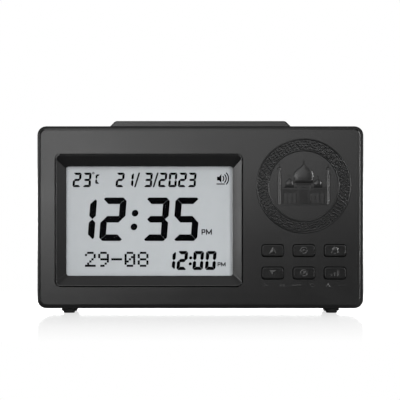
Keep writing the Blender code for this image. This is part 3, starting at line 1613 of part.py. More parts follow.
def build_power_jack(parts, tools):
    """The barrel socket: a square body, a round nose in the cover's hole, a bore and its centre pin."""
    moulding = material("jack_moulding", (0.015, 0.015, 0.016), 0.45)
    plated = material("jack_pin_plating", (0.72, 0.71, 0.68), 0.25, 1.0)
    start = JACK_END - JACK_LENGTH
    nose_end = BODY_DEPTH - PIECE_GAP
    rect = around(JACK_X, JACK_Z, JACK_WIDTH, JACK_HEIGHT)
    jack = block("power_jack", rect, start, JACK_END, moulding, parts)
    nose = cylinder(
        "jack_nose",
        JACK_NOSE_RADIUS,
        (JACK_X, at_depth(JACK_END - EMBED), JACK_Z),
        (JACK_X, at_depth(nose_end), JACK_Z),
        None,
        tools,
    )
    bore = cylinder(
        "jack_bore",
        JACK_BORE_RADIUS,
        (JACK_X, at_depth(nose_end - JACK_BORE_DEPTH), JACK_Z),
        (JACK_X, at_depth(nose_end + OVERRUN), JACK_Z),
        None,
        tools,
    )
    join(jack, nose)
    cut(jack, bore)
    cylinder(
        "jack_pin",
        JACK_PIN_RADIUS,
        (JACK_X, at_depth(nose_end - JACK_BORE_DEPTH + PIECE_GAP), JACK_Z),
        (JACK_X, at_depth(nose_end - JACK_PIN_RECESS), JACK_Z),
        plated,
        parts,
        SMALL_ROUND,
    )


def build_leads(parts, tools, cover):
    """The jacketed leads from the board to the speaker's rim and into the battery bay."""
    jacket = material("lead_jacket", (0.30, 0.02, 0.02), 0.50)
    start_y = at_depth(BOARD_END + LEAD_END_CLEARANCE)
    rim_x = SPEAKER_X - SPEAKER_RADIUS + SPEAKER_RIM_WIDTH / 2
    start = (rim_x, start_y, board_rect()[2] + THERMISTOR_INSET)
    end = (rim_x, at_depth(SPEAKER_RIM_START - LEAD_END_CLEARANCE), SPEAKER_Z)
    wire("speaker_lead", eased_path(start, end, LEAD_STRAIGHT, LEAD_STRAIGHT), LEAD_RADIUS, jacket, parts)
    bay_left, _, _, bay_top = BAY_RECT
    x = bay_left + CONTACT_THICKNESS + 2 * PIECE_GAP + LEAD_RADIUS
    z = bay_top - LEAD_RADIUS - PIECE_GAP
    start = (x + LEAD_SWAY, start_y, z - LEAD_SWAY)
    end = (x, at_depth(BAY_FLOOR + LEAD_STRAIGHT), z)
    through = LEAD_STRAIGHT + BAY_WALL + LEAD_RADIUS
    wire("battery_lead", eased_path(start, end, LEAD_STRAIGHT, through), LEAD_RADIUS, jacket, parts)
    hole = cylinder(
        "battery_lead_hole",
        LEAD_RADIUS + PIECE_GAP,
        (x, at_depth(BAY_FLOOR - BAY_WALL - OVERRUN), z),
        (x, at_depth(BAY_FLOOR + OVERRUN), z),
        None,
        tools,
        SMALL_ROUND,
    )
    cut(cover, hole)


def main():
    for leftover in list(bpy.data.objects):
        bpy.data.objects.remove(leftover)
    parts = new_collection("prayer_time_clock")
    tools = new_collection("cutters")
    build_front_housing(parts, tools)
    cover = build_rear_cover(parts, tools)
    build_display_bezel(parts)
    build_display_stack(parts, tools)
    build_main_board(parts, tools)
    build_keys(parts, tools)
    build_snooze_bar(parts, tools)
    build_snooze_switch(parts, tools)
    build_feet(parts)
    build_case_screws(parts)
    build_speaker(parts)
    build_battery_door(parts, tools)
    build_cells(parts)
    build_contacts(parts)
    build_power_jack(parts, tools)
    build_leads(parts, tools, cover)


main()
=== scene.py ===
"""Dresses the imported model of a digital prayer-time clock.

Every piece is modelled with Blender's own operators at its real size, in metres, in the frame of the
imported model: the clock looks along -Y, +X is to its right as seen from the front, and it stands on z = 0.
"""

import json
import math
from contextlib import contextmanager

import bmesh
import bpy
from bpy.props import FloatProperty, FloatVectorProperty, IntProperty, PointerProperty, StringProperty
from mathutils import Matrix, Vector

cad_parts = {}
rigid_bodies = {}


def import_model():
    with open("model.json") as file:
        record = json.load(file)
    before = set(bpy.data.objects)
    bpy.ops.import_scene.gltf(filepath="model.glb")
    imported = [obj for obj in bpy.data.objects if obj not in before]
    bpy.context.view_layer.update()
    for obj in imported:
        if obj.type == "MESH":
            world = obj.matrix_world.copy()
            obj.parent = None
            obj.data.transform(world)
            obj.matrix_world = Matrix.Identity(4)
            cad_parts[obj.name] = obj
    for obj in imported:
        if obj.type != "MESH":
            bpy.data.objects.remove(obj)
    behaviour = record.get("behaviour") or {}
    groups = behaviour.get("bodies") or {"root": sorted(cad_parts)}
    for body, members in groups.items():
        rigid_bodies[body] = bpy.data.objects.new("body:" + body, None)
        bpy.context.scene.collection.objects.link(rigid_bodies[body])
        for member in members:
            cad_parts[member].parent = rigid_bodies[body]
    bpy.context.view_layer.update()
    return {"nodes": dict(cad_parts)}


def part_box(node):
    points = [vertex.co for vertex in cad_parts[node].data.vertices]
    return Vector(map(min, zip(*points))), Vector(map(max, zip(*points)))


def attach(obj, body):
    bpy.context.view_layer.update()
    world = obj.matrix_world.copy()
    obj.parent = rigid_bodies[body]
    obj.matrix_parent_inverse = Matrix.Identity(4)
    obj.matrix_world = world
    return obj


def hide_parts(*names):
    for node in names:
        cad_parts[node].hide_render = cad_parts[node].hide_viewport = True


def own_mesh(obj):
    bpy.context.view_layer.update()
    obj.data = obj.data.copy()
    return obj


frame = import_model()

bl_info = {
    "name": "Prayer Clock Finishing",
    "version": (1, 0, 0),
    "blender": (4, 5, 0),
    "location": "View3D > Sidebar > Clock",
    "description": "Adds the finish, display, relief and studio of a desk clock",
    "category": "Object",
}

MM = 0.001
HAIR = 0.00001  # how far behind the face something counts as behind it
MERGE = 0.000001  # points closer than this are one
FLAT = 0.2  # faces within these degrees are one

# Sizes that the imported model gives
FACE_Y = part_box("display_bezel")[0].y
BODY_LOW, BODY_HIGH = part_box("front_housing")
REAR_BACK_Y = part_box("rear_cover")[1].y
GLASS_LOW, GLASS_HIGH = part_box("lcd_panel")

# Display bezel
BEZEL_FLANGE = 0.0009
BEZEL_CORNER = 0.0025
BEZEL_RIM = 0.00035
BEZEL_GROOVE = 0.00025
BEZEL_SOFTNESS = 0.0001
SLOPES = (0.0059, 0.0053, 0.0058, 0.0066)
WINDOW_CORNER = 0.0014
RECESS = 0.0040
WINDOW_EDGE = 0.0008
FLANGE_DEPTHS = (0.0025, 0.0037)
POCKET_MARGIN = 0.0020
POCKET_WALL = 0.0012
POCKET_BACK = 0.0061
RIM_GAP = 0.0003
GROOVE_REACH = RIM_GAP * 1.5

# Keys, and what springs them
KEY_FLANGE = 0.0008
KEY_FLANGE_FRONT = FACE_Y + FLANGE_DEPTHS[0]
KEY_FLANGE_BACK = KEY_FLANGE_FRONT + 0.001
KEY_CORNER = 0.0013
KEY_FRONT = FACE_Y - 0.0007
KEY_FLOOR = KEY_FRONT + 0.00008
KEY_LIP = 0.00042
KEY_SLACK = 0.00012
KEY_ROUND = 0.00016
KEY_STEM = (0.004, 0.0025)
LEGEND_HEIGHT = 0.00016
SHEET_THICKNESS = 0.0010
SHEET_ROUND = 0.0003
DOME_BASE_RADIUS = 0.0030
DOME_NARROWING = 0.6
DOME_PAD = 0.0005
DOME_ROUND = 0.00015
DOME_ROOT = 0.00005
KEY_NAMES = [f"key_{row}_{column}" for row in ("upper", "lower") for column in ("left", "middle", "right")]

# Feet
FOOT_STEP = 0.0010
FOOT_STEP_HEIGHT = 0.0001
FOOT_FLANGE = 1.12
FOOT_DISC = 0.90
FOOT_ROUND = 0.00012

# Round relief and other raised marks
RELIEF_CENTRE = (0.0538, 0.06645)
RELIEF_OUTER = 0.0248
RELIEF_INNER = 0.0180
SLAB_ROUND = 0.00009
SLAB_ROOT = 0.0003
ARCH_ROOT = 0.0001
HALL_ROUND = 0.00008
ROOT = 0.00002  # a raised mark reaches this far into what it stands on
MARKS_Z = 0.0145
MARK_HEIGHT = 0.00012
SIGN_OVER_SOCKET = 0.0068
SIGN_HEIGHT = 0.0002
ARROW_OVER_DOOR_FOOT = 0.0105
ARROW_SIZE = 0.0026
ARROW_HEIGHT = 0.00025


def rect_of(low, high):
    """(left, right, bottom, top) of a box as the front shows it."""
    return (low.x, high.x, low.z, high.z)


def grow(rect, amount):
    left, right, bottom, top = rect
    return (left - amount, right + amount, bottom - amount, top + amount)


def about(x, z, width, height):
    return (x - width / 2, x + width / 2, z - height / 2, z + height / 2)


def middle_of(rect):
    left, right, bottom, top = rect
    return (left + right) / 2, (bottom + top) / 2


def key_rect(name):
    return grow(rect_of(*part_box(name)), -KEY_FLANGE)


BEZEL_RECT = grow(rect_of(*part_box("display_bezel")), -BEZEL_FLANGE)
WINDOW_RECT = (
    BEZEL_RECT[0] + SLOPES[0] - RIM_GAP,
    BEZEL_RECT[1] - SLOPES[1] + RIM_GAP,
    BEZEL_RECT[2] + SLOPES[2] - RIM_GAP,
    BEZEL_RECT[3] - SLOPES[3] + RIM_GAP,
)


# ---- selecting and shaping


def deselect():
    for piece in bpy.context.view_layer.objects:
        piece.select_set(False)


def take(piece, *others):
    """Selects these pieces alone and makes the first one active."""
    deselect()
    for each in (piece, *others):
        each.select_set(True)
    bpy.context.view_layer.objects.active = piece


@contextmanager
def editing(piece, kind="VERT"):
    """Edit mode on one piece, with nothing selected."""
    take(piece)
    bpy.ops.object.mode_set(mode="EDIT")
    bpy.ops.mesh.select_mode(type=kind)
    bpy.ops.mesh.select_all(action="DESELECT")
    yield piece
    bpy.ops.object.mode_set(mode="OBJECT")


def pick(piece, test, kind="verts"):
    """Selects the vertices, edges or faces that pass a test, and only those."""
    bpy.ops.mesh.select_all(action="DESELECT")
    work = bmesh.from_edit_mesh(piece.data)
    found = [each for each in getattr(work, kind) if test(each)]
    for each in found:
        each.select_set(True)
    work.select_flush_mode()
    bmesh.update_edit_mesh(piece.data)
    return found


def upright_edge(edge):
    """True for an edge along Y, which stands out of the face."""
    return abs((edge.verts[0].co - edge.verts[1].co).normalized().y) > 0.9


def newest(name, size=None):
    """The piece that was just added, with its name, and its place, turn and size put into its mesh."""
    piece = bpy.context.view_layer.objects.active
    piece.name = name
    if size:
        piece.scale = size
    take(piece)
    bpy.ops.object.transform_apply(location=True, rotation=True, scale=True)
    return piece


def change(piece, kind, **settings):
    """Adds a modifier with its settings and applies it."""
    modifier = piece.modifiers.new(kind.lower(), kind)
    for name, value in settings.items():
        setattr(modifier, name, value)
    take(piece)
    bpy.ops.object.modifier_apply(modifier=modifier.name)
    return piece


def combine(piece, tool, operation="DIFFERENCE"):
    """Cuts with another piece, or fuses it, and removes it."""
    change(piece, "BOOLEAN", operation=operation, object=tool, solver="EXACT")
    bpy.data.objects.remove(tool)
    return piece


def soften(piece, width, angle=50):
    """Rounds every edge sharper than an angle."""
    turn = math.radians(angle)
    return change(piece, "BEVEL", width=width, segments=2, limit_method="ANGLE", angle_limit=turn)


def shade(piece, angle=35):
    """Shades round surfaces smooth while the flat faces beside them stay flat."""
    take(piece)
    bpy.ops.object.shade_smooth_by_angle(angle=math.radians(angle))
    return change(piece, "WEIGHTED_NORMAL", mode="FACE_AREA", weight=100, keep_sharp=True)


def join(name, pieces):
    """Makes several pieces one."""
    take(pieces[0], *pieces[1:])
    if len(pieces) > 1:
        bpy.ops.object.join()
    joined = bpy.context.view_layer.objects.active
    joined.name = name
    joined.data.name = name
    return joined


def copy_of(piece, name, shift=(0, 0, 0)):
    """A copy with a mesh of its own, moved by a shift."""
    twin = bpy.data.objects.new(name, piece.data.copy())
    bpy.context.scene.collection.objects.link(twin)
    twin.data.transform(Matrix.Translation(Vector(shift)))
    return twin


def block(name, rect, front, back):
    """A box as the front shows it, between two values of y."""
    left, right, bottom, top = rect
    deselect()
    bpy.ops.mesh.primitive_cube_add(
        size=1,
        location=((left + right) / 2, (front + back) / 2, (bottom + top) / 2),
        scale=(right - left, back - front, top - bottom),
    )
    return newest(name)


def rod(name, place, radius, front, back, sides=48):
    """A cylinder along Y at a place (x, z) of the front."""
    deselect()
    bpy.ops.mesh.primitive_cylinder_add(
        vertices=sides,
        radius=radius,
        depth=back - front,
        location=(place[0], (front + back) / 2, place[1]),
        rotation=(math.pi / 2, 0, 0),
    )
    return newest(name)


def ball(name, place, size, segments=12, rings=8):
    """A flattened ball at a place (x, y, z), with a half width for each axis."""
    deselect()
    bpy.ops.mesh.primitive_uv_sphere_add(segments=segments, ring_count=rings, radius=1, location=place)
    return newest(name, size)


def corner_centre(rect, radius, level, side, rise):
    """The centre of one rounded corner of an outline at a value of y."""
    left, right, low, high = rect
    x = right - radius if side > 0 else left + radius
    return Vector((x, level, high - radius if rise > 0 else low + radius))


def stepped(name, stations, steps=6, ring=False):
    """Grows a piece outline by outline, each a rounded rectangle (rect, corner radius, y), by extruding
    and then scaling and moving its corners. A ring comes back to its first outline; else the ends are filled.
    """
    rect, radius, level = stations[0]
    x, z = middle_of(rect)
    deselect()
    bpy.ops.mesh.primitive_plane_add(size=1, location=(x, level, z), rotation=(math.pi / 2, 0, 0))
    piece = newest(name, (rect[1] - rect[0], rect[3] - rect[2], 1))
    with editing(piece):
        bpy.ops.mesh.select_all(action="SELECT")
        bpy.ops.mesh.bevel(offset=radius, segments=steps, profile=0.5, affect="VERTICES", clamp_overlap=True)
        bpy.ops.mesh.select_all(action="SELECT")
        bpy.ops.mesh.delete(type="ONLY_FACE")
        bpy.ops.mesh.select_all(action="SELECT")
        for next_station in stations[1:]:
            bpy.ops.mesh.extrude_edges_move(TRANSFORM_OT_translate={"value": (0, 0, 0)})
            loop = {v.index for v in bmesh.from_edit_mesh(piece.data).verts if v.select}
            ratio = next_station[1] / radius
            for side, rise in ((-1, -1), (-1, 1), (1, -1), (1, 1)):
                pick(piece, lambda v: v.index in loop and (v.co.x - x) * side > 0 and (v.co.z - z) * rise > 0)
                centre = corner_centre(rect, radius, level, side, rise)
                bpy.ops.transform.resize(value=(ratio, 1, ratio), center_override=centre)
                bpy.ops.transform.translate(value=corner_centre(*next_station, side, rise) - centre)
            pick(piece, lambda v: v.index in loop)
            rect, radius, level = next_station
            x, z = middle_of(rect)
        for end in () if ring else (stations[0][2], level):
            bpy.ops.mesh.select_mode(type="EDGE")
            pick(piece, lambda e: e.is_boundary and abs(e.verts[0].co.y - end) < MERGE, "edges")
            bpy.ops.mesh.edge_face_add()
        bpy.ops.mesh.select_all(action="SELECT")
        bpy.ops.mesh.remove_doubles(threshold=MERGE)
        bpy.ops.mesh.normals_make_consistent(inside=False)
    return shade(piece)


def cast_of(node, name, softness=0.0):
    """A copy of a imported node's mesh, merged and cleaned, with its sharp edges softly rounded."""
    piece = copy_of(frame["nodes"][node], name)
    piece.data.materials.clear()
    take(piece)
    bpy.ops.mesh.customdata_custom_splitnormals_clear()
    with editing(piece):
        bpy.ops.mesh.select_all(action="SELECT")
        bpy.ops.mesh.remove_doubles(threshold=2 * MERGE)
        bpy.ops.mesh.dissolve_limited(angle_limit=math.radians(FLAT))
    if softness:
        soften(piece, softness)
    return shade(piece)


def paint(piece, material):
    piece.data.materials.clear()
    piece.data.materials.append(material)
    return piece


def finish(piece, material=None, body="case"):
    """Gives a piece the body that it moves with, and its material unless its parts have theirs."""
    if material:
        paint(piece, material)
    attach(piece, body)
    return piece


def paint_groove_shade(piece, test):
    """Paints shade on the faces that pass a test: a near-black colour that stands in for the shade deep in a
    groove.
    """
    material = moulded("groove")
    if material.name not in piece.data.materials:
        piece.data.materials.append(material)
    place = piece.data.materials.find(material.name)
    for face in piece.data.polygons:
        if test([piece.data.vertices[index].co for index in face.vertices]):
            face.material_index = place


def within(rect, points):
    left, right, bottom, top = rect
    return all(left < point.x < right and bottom < point.z < top for point in points)


def points_behind(points, step=HAIR):
    """True for a face that lies behind the plane of the front."""
    return sum(point.y for point in points) / len(points) > FACE_Y + step


# ---- materials

# Each moulding: name, colour or the case setting that gives it, gloss range, grain scale and depth,
# dust, specular level
MOULDINGS = {
    "case": ("Black case moulding", "case_colour", (0.21, 0.24), (2600.0, 0.25), 0.04, 0.29),
    "bezel": ("Black bezel moulding", "bezel_colour", (0.20, 0.24), (3600.0, 0.15), 0.03, 0.29),
    "key": ("Black key moulding", "key_colour", (0.23, 0.26), (3200.0, 0.20), 0.03, 0.17),
    "relief": ("Etched relief moulding", "case_colour", (0.15, 0.19), (900.0, 1.6), 0.03, 0.26),
    "legend": ("Polished legend moulding", "key_colour", (0.20, 0.23), (3200.0, 0.2), 0.02, 0.42),
    # groove: painted shade, a near-black colour with almost no shine that stands in for the shade in the gaps
    # round the bezel and keys
    "groove": ("Dark groove moulding", (0.001, 0.001, 0.001), (0.6, 0.7), (2600.0, 0.35), 0.0, 0.02),
    "foot": ("Matt black rubber", (0.012, 0.012, 0.012), (0.70, 0.85), (1500.0, 0.6), 0.02, 0.29),
    "silicone": ("Grey silicone", (0.36, 0.36, 0.35), (0.5, 0.65), (900.0, 0.2), 0.0, 0.29),
    "white": ("White moulding", (0.72, 0.72, 0.70), (0.4, 0.5), (2000.0, 0.2), 0.0, 0.29),
    "component": ("Black component", (0.013, 0.013, 0.014), (0.35, 0.5), (2000.0, 0.3), 0.0, 0.29),
    "paper": ("Pressed cone paper", (0.03, 0.03, 0.03), (0.8, 0.9), (700.0, 0.9), 0.0, 0.29),
    "lead": ("Red lead jacket", (0.30, 0.012, 0.010), (0.4, 0.5), (1500.0, 0.2), 0.0, 0.29),
}
# Each metal: name, colour, roughness
METALS = {
    "screw": ("Zinc plated screw", (0.56, 0.56, 0.57), 0.34),
    "nickel": ("Nickel plated spring", (0.68, 0.66, 0.62), 0.25),
    "pressed": ("Pressed steel", (0.45, 0.45, 0.46), 0.42),
}


def fill(tree, node, **values):
    """Sets a node's settings, plain inputs and links. An underscore stands for a space."""
    for name, value in values.items():
        label = name.replace("_", " ")
        if label not in node.inputs:
            setattr(node, name, value)
        elif isinstance(value, bpy.types.NodeSocket):
            tree.links.new(value, node.inputs[label])
        elif node.inputs[label].type == "RGBA":
            node.inputs[label].default_value = (*value, 1)
        else:
            node.inputs[label].default_value = value
    return node


def add(tree, kind, output, **values):
    """One output of a new node."""
    return fill(tree, tree.nodes.new(f"ShaderNode{kind}"), **values).outputs[output]


def place_in(tree):
    """Where a point lies in its own object."""
    return add(tree, "TexCoord", "Object")


def along(tree, vector, axis):
    return add(tree, "SeparateXYZ", axis, Vector=vector)


def noise(tree, coordinates, scale, detail=2.0, roughness=0.5):
    return add(tree, "TexNoise", "Fac", Vector=coordinates, Scale=scale, Detail=detail, Roughness=roughness)


def ramp(tree, value, low, high, from_low=0.0, from_high=1.0):
    ends = {"From_Min": from_low, "From_Max": from_high, "To_Min": low, "To_Max": high}
    return add(tree, "MapRange", "Result", Value=value, **ends)


def blend(tree, share, first, second, kind="MIX"):
    """A blend of two colours."""
    return add(tree, "Mix", "Result", data_type="RGBA", blend_type=kind, Factor=share, A=first, B=second)


def maths(tree, operation, first, second):
    """A sum, product or larger one of two sockets."""
    node = tree.nodes.new("ShaderNodeMath")
    node.operation = operation
    tree.links.new(first, node.inputs[0])
    tree.links.new(second, node.inputs[1])
    return node.outputs[0]


def start_material(name, **values):
    """A material, its tree and its Principled shader with some of its inputs set."""
    material = bpy.data.materials.new(name)
    material.use_nodes = True
    tree = material.node_tree
    return material, tree, fill(tree, tree.nodes["Principled BSDF"], **values)


def moulded_group():
    """Fine spark-eroded grain, slow changes of gloss where hands have been, and dust on what faces up."""
    made = bpy.data.node_groups.get("Moulded surface")
    if made:
        return made
    group = bpy.data.node_groups.new("Moulded surface", "ShaderNodeTree")
    for label in ("Colour", "Grain Scale", "Grain Depth", "Gloss Low", "Gloss High", "Dust"):
        kind = "NodeSocketColor" if label == "Colour" else "NodeSocketFloat"
        group.interface.new_socket(name=label, in_out="INPUT", socket_type=kind)
    for label, kind in (("Colour", "Color"), ("Roughness", "Float"), ("Normal", "Vector")):
        group.interface.new_socket(name=label, in_out="OUTPUT", socket_type=f"NodeSocket{kind}")
    given = group.nodes.new("NodeGroupInput").outputs
    place = place_in(group)
    grain = noise(group, place, given["Grain Scale"], 3.0)
    bump = add(group, "Bump", "Normal", Distance=0.00003, Strength=given["Grain Depth"], Height=grain)
    smudge = noise(group, place, 38.0, 4.0, 0.6)
    gloss = ramp(group, smudge, given["Gloss Low"], given["Gloss High"], 0.3, 0.7)
    upward = ramp(group, along(group, add(group, "NewGeometry", "Normal"), "Z"), 0.0, 1.0, 0.55, 0.95)
    specks = ramp(group, noise(group, place, 900.0, 5.0, 0.75), 0.0, 1.0, 0.5, 0.72)
    dust = maths(group, "MULTIPLY", maths(group, "MULTIPLY", upward, specks), given["Dust"])
    clouds = ramp(group, noise(group, place, 60.0, 3.0), 0.9, 1.1, 0.3, 0.7)
    tone = blend(group, 1.0, given["Colour"], clouds, "MULTIPLY")
    tone = blend(group, dust, tone, (0.45, 0.43, 0.40))
    fill(group, group.nodes.new("NodeGroupOutput"), Colour=tone, Roughness=gloss, Normal=bump)
    return group


def moulded(kind):
    """Injection-moulded plastic or rubber."""
    name, colour, gloss, grain, dust, specular = MOULDINGS[kind]
    if name in bpy.data.materials:
        return bpy.data.materials[name]
    if isinstance(colour, str):
        colour = getattr(bpy.context.scene.clock_case, colour)
    material, tree, shader = start_material(name, Specular_IOR_Level=specular)
    surface = tree.nodes.new("ShaderNodeGroup")
    surface.node_tree = moulded_group()
    fill(tree, surface, Colour=colour, Grain_Scale=grain[0], Grain_Depth=grain[1], Dust=dust)
    made = fill(tree, surface, Gloss_Low=gloss[0], Gloss_High=gloss[1]).outputs
    fill(tree, shader, Base_Color=made["Colour"], Roughness=made["Roughness"], Normal=made["Normal"])
    return material


def metal(kind):
    """Plated or drawn metal with fine streaks along X."""
    name, colour, roughness = METALS[kind]
    if name in bpy.data.materials:
        return bpy.data.materials[name]
    material, tree, shader = start_material(name, Metallic=1.0)
    stretch = add(tree, "Mapping", "Vector", Vector=place_in(tree), Scale=(0.12, 1.0, 1.0))
    drawn = noise(tree, stretch, 900.0, 3.0)
    tone = blend(tree, drawn, [value * 0.86 for value in colour], colour)
    fill(tree, shader, Base_Color=tone, Roughness=ramp(tree, drawn, roughness * 0.75, roughness * 1.3))
    return material


# ---- the case


class ClockCaseSettings(bpy.types.PropertyGroup):
    case_colour: FloatVectorProperty(
        name="Case colour",
        description="Colour of the case moulding",
        subtype="COLOR",
        default=(0.003, 0.003, 0.003),
    )
    bezel_colour: FloatVectorProperty(
        name="Bezel colour",
        description="Colour of the frame round the display",
        subtype="COLOR",
        default=(0.0035, 0.0035, 0.0037),
    )
    key_colour: FloatVectorProperty(
        name="Key colour", description="Colour of the keycaps", subtype="COLOR", default=(0.003, 0.003, 0.003)
    )
    edge_softness: FloatProperty(
        name="Edge softness",
        description="Width of the small rounding on moulded edges",
        unit="LENGTH",
        default=0.0001,
        min=0.0,
    )


class CLOCK_OT_finish_case(bpy.types.Operator):
    """Builds the dressed front shell and rear cover"""

    bl_idname = "clock.finish_case"
    bl_label = "Case"

    def execute(self, context):
        softness = context.scene.clock_case.edge_softness
        front = cast_of("front_housing", "case_front_shell", softness)
        finish(front, moulded("case"))
        # The walls of the openings for the bezel and keys get painted shade
        holes = [grow(rect, GROOVE_REACH) for rect in (BEZEL_RECT, *map(key_rect, KEY_NAMES))]
        paint_groove_shade(
            front, lambda points: points_behind(points) and any(within(hole, points) for hole in holes)
        )
        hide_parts("front_housing")
        rear = cast_of("rear_cover", "case_rear_shell", softness)
        finish(rear, moulded("case"))
        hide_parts("rear_cover")
        return {"FINISHED"}


class CLOCK_OT_finish_bezel(bpy.types.Operator):
    """Builds the sloping frame round the display"""

    bl_idname = "clock.finish_bezel"
    bl_label = "Display bezel"

    def execute(self, context):
        rim, window = grow(BEZEL_RECT, -BEZEL_GROOVE), WINDOW_RECT
        flange = grow(BEZEL_RECT, BEZEL_FLANGE)
        pocket = grow(window, POCKET_MARGIN)
        wall = grow(pocket, POCKET_WALL)
        soft = BEZEL_SOFTNESS
        land = grow(rim, -BEZEL_RIM)
        stations = (
            (rim, BEZEL_CORNER, FLANGE_DEPTHS[0]),
            (rim, BEZEL_CORNER, soft),
            (grow(rim, -soft * 0.3), BEZEL_CORNER, soft * 0.3),
            (grow(rim, -soft), BEZEL_CORNER, 0),
            (grow(land, soft), BEZEL_CORNER, 0),
            (grow(land, -soft), BEZEL_CORNER - soft, soft * 0.7),
            (grow(window, soft), WINDOW_CORNER + soft, RECESS - soft),
            (window, WINDOW_CORNER, RECESS),
            (window, WINDOW_CORNER, RECESS + WINDOW_EDGE),
            (pocket, WINDOW_CORNER, RECESS + WINDOW_EDGE),
            (pocket, WINDOW_CORNER, POCKET_BACK),
            (wall, WINDOW_CORNER + POCKET_WALL, POCKET_BACK),
            (wall, WINDOW_CORNER + POCKET_WALL, FLANGE_DEPTHS[1]),
            (flange, BEZEL_CORNER, FLANGE_DEPTHS[1]),
            (flange, BEZEL_CORNER, FLANGE_DEPTHS[0]),
            (rim, BEZEL_CORNER, FLANGE_DEPTHS[0]),
        )
        stations = [(rect, radius, FACE_Y + depth) for rect, radius, depth in stations]
        bezel = stepped("display_frame", stations, steps=8, ring=True)
        finish(bezel, moulded("bezel"))
        inside = grow(rim, -soft / 2)

        def in_gap(points):
            return points_behind(points, soft / 2) and not any(within(inside, [each]) for each in points)

        # The bezel's walls inside the gap round it get painted shade
        paint_groove_shade(bezel, in_gap)
        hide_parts("display_bezel")
        return {"FINISHED"}


class ClockReliefSettings(bpy.types.PropertyGroup):
    leaf_rows: IntProperty(
        name="Rows of leaves", description="Rows from the inner to the outer border", default=4, min=1
    )
    leaf_length: FloatProperty(
        name="Leaf length", description="Length of a leaf", unit="LENGTH", default=0.0021
    )
    leaf_width: FloatProperty(
        name="Leaf width", description="Width of a leaf", unit="LENGTH", default=0.00095
    )
    leaf_height: FloatProperty(
        name="Leaf height", description="Height of the leaves over the ring", unit="LENGTH", default=0.00032
    )
    border_width: FloatProperty(
        name="Border width", description="Width of the plain borders", unit="LENGTH", default=0.0009
    )
    picture_height: FloatProperty(
        name="Picture height", description="Height of the domed hall", unit="LENGTH", default=0.00045
    )


class CLOCK_OT_finish_relief_ring(bpy.types.Operator):
    """Builds the band of leaves on the raised ring, between two plain borders"""

    bl_idname = "clock.finish_relief_ring"
    bl_label = "Relief ring"

    def execute(self, context):
        relief = context.scene.clock_relief
        y = BODY_LOW.y
        x, z = RELIEF_CENTRE
        height, width = relief.leaf_height, relief.border_width
        pieces = [
            legend_hoop(x, z, radius, width, y - height, y + height, 144)
            for radius in (RELIEF_INNER + width / 2, RELIEF_OUTER - width / 2)
        ]
        leaf = ball("leaf", (0, 0, 0), (relief.leaf_length / 2, height, relief.leaf_width / 2))
        pitch = (RELIEF_OUTER - RELIEF_INNER - 2 * width) / relief.leaf_rows
        for row in range(relief.leaf_rows):
            radius = RELIEF_INNER + width + pitch * (row + 0.5)
            count = round(2 * math.pi * radius / (relief.leaf_length * 0.86))
            for i in range(count):
                angle = 2 * math.pi * (i + 0.5 * (row % 2)) / count
                lean = math.radians(38 if (i + row) % 2 else -38) + 0.35 * math.sin(5.0 * i + 2.0 * row)
                place = Vector((x + radius * math.sin(angle), y, z + radius * math.cos(angle)))
                turned = copy_of(leaf, "leaf")
                turned.data.transform(Matrix.Translation(place) @ Matrix.Rotation(angle + lean, 4, "Y"))
                pieces.append(turned)
        bpy.data.objects.remove(leaf)
        finish(shade(join("relief_leaf_band", pieces), 60), moulded("relief"))
        return {"FINISHED"}


# How far up a dome is pinched, by how much, and how far it is then lifted
DOME_POINT = (
    (0.55, 0.90, 0.02),
    (0.70, 0.80, 0.05),
    (0.83, 0.68, 0.09),
    (0.93, 0.58, 0.15),
    (0.99, 0.50, 0.28),
)


def onion(x, z, radius, height, depth):
    """A pointed dome in low relief, standing at z."""
    piece = ball("dome", (x, FACE_Y, z), (radius, depth, radius), 32, 16)
    with editing(piece):
        pick(piece, lambda v: v.co.z < z - radius * 0.42)
        bpy.ops.mesh.delete(type="VERT")
        for share, pinch, lift in DOME_POINT:
            level = z + radius * share
            pick(piece, lambda v: v.co.z > level)
            bpy.ops.transform.resize(value=(pinch, 1, 1), center_override=(x, FACE_Y, level))
            bpy.ops.transform.translate(value=(0, 0, (height - radius) * lift))
        pick(piece, lambda e: e.is_boundary, "edges")
        bpy.ops.mesh.select_mode(type="EDGE")
        bpy.ops.mesh.edge_face_add()
    return piece


def arch_tool(x, foot, width, height, front, back):
    """A pointed-arch cutter standing on a height."""
    piece = block("arch", about(x, foot + height / 2, width, height), front, back)
    with editing(piece, "EDGE"):
        pick(piece, lambda e: upright_edge(e) and e.verts[0].co.z > foot + height / 2, "edges")
        reach = width * 0.495
        bpy.ops.mesh.bevel(offset=reach, segments=5, profile=0.42, affect="EDGES", clamp_overlap=False)
    return piece


def pillar(x, low, high, width, depth):
    """A half-round upright in low relief."""
    deselect()
    place = (x, FACE_Y, (low + high) / 2)
    bpy.ops.mesh.primitive_cylinder_add(vertices=20, radius=1, depth=1, location=place)
    return newest("pillar", (width / 2, depth, high - low))


def leaning_slab(x, z, width, height, top, foot, edge):
    """A flat slab in low relief, with its own height over the face at its top and at its foot."""
    rise = max(top, foot)
    piece = block("slab", about(x, z, width, height), FACE_Y - rise, FACE_Y + SLAB_ROOT)
    with editing(piece):
        for low_half, amount in ((True, foot), (False, top)):
            pick(piece, lambda v: v.co.y < FACE_Y and (v.co.z < z) == low_half)
            bpy.ops.transform.translate(value=(0, rise - amount, 0))
    return soften(piece, edge, 40) if edge else piece


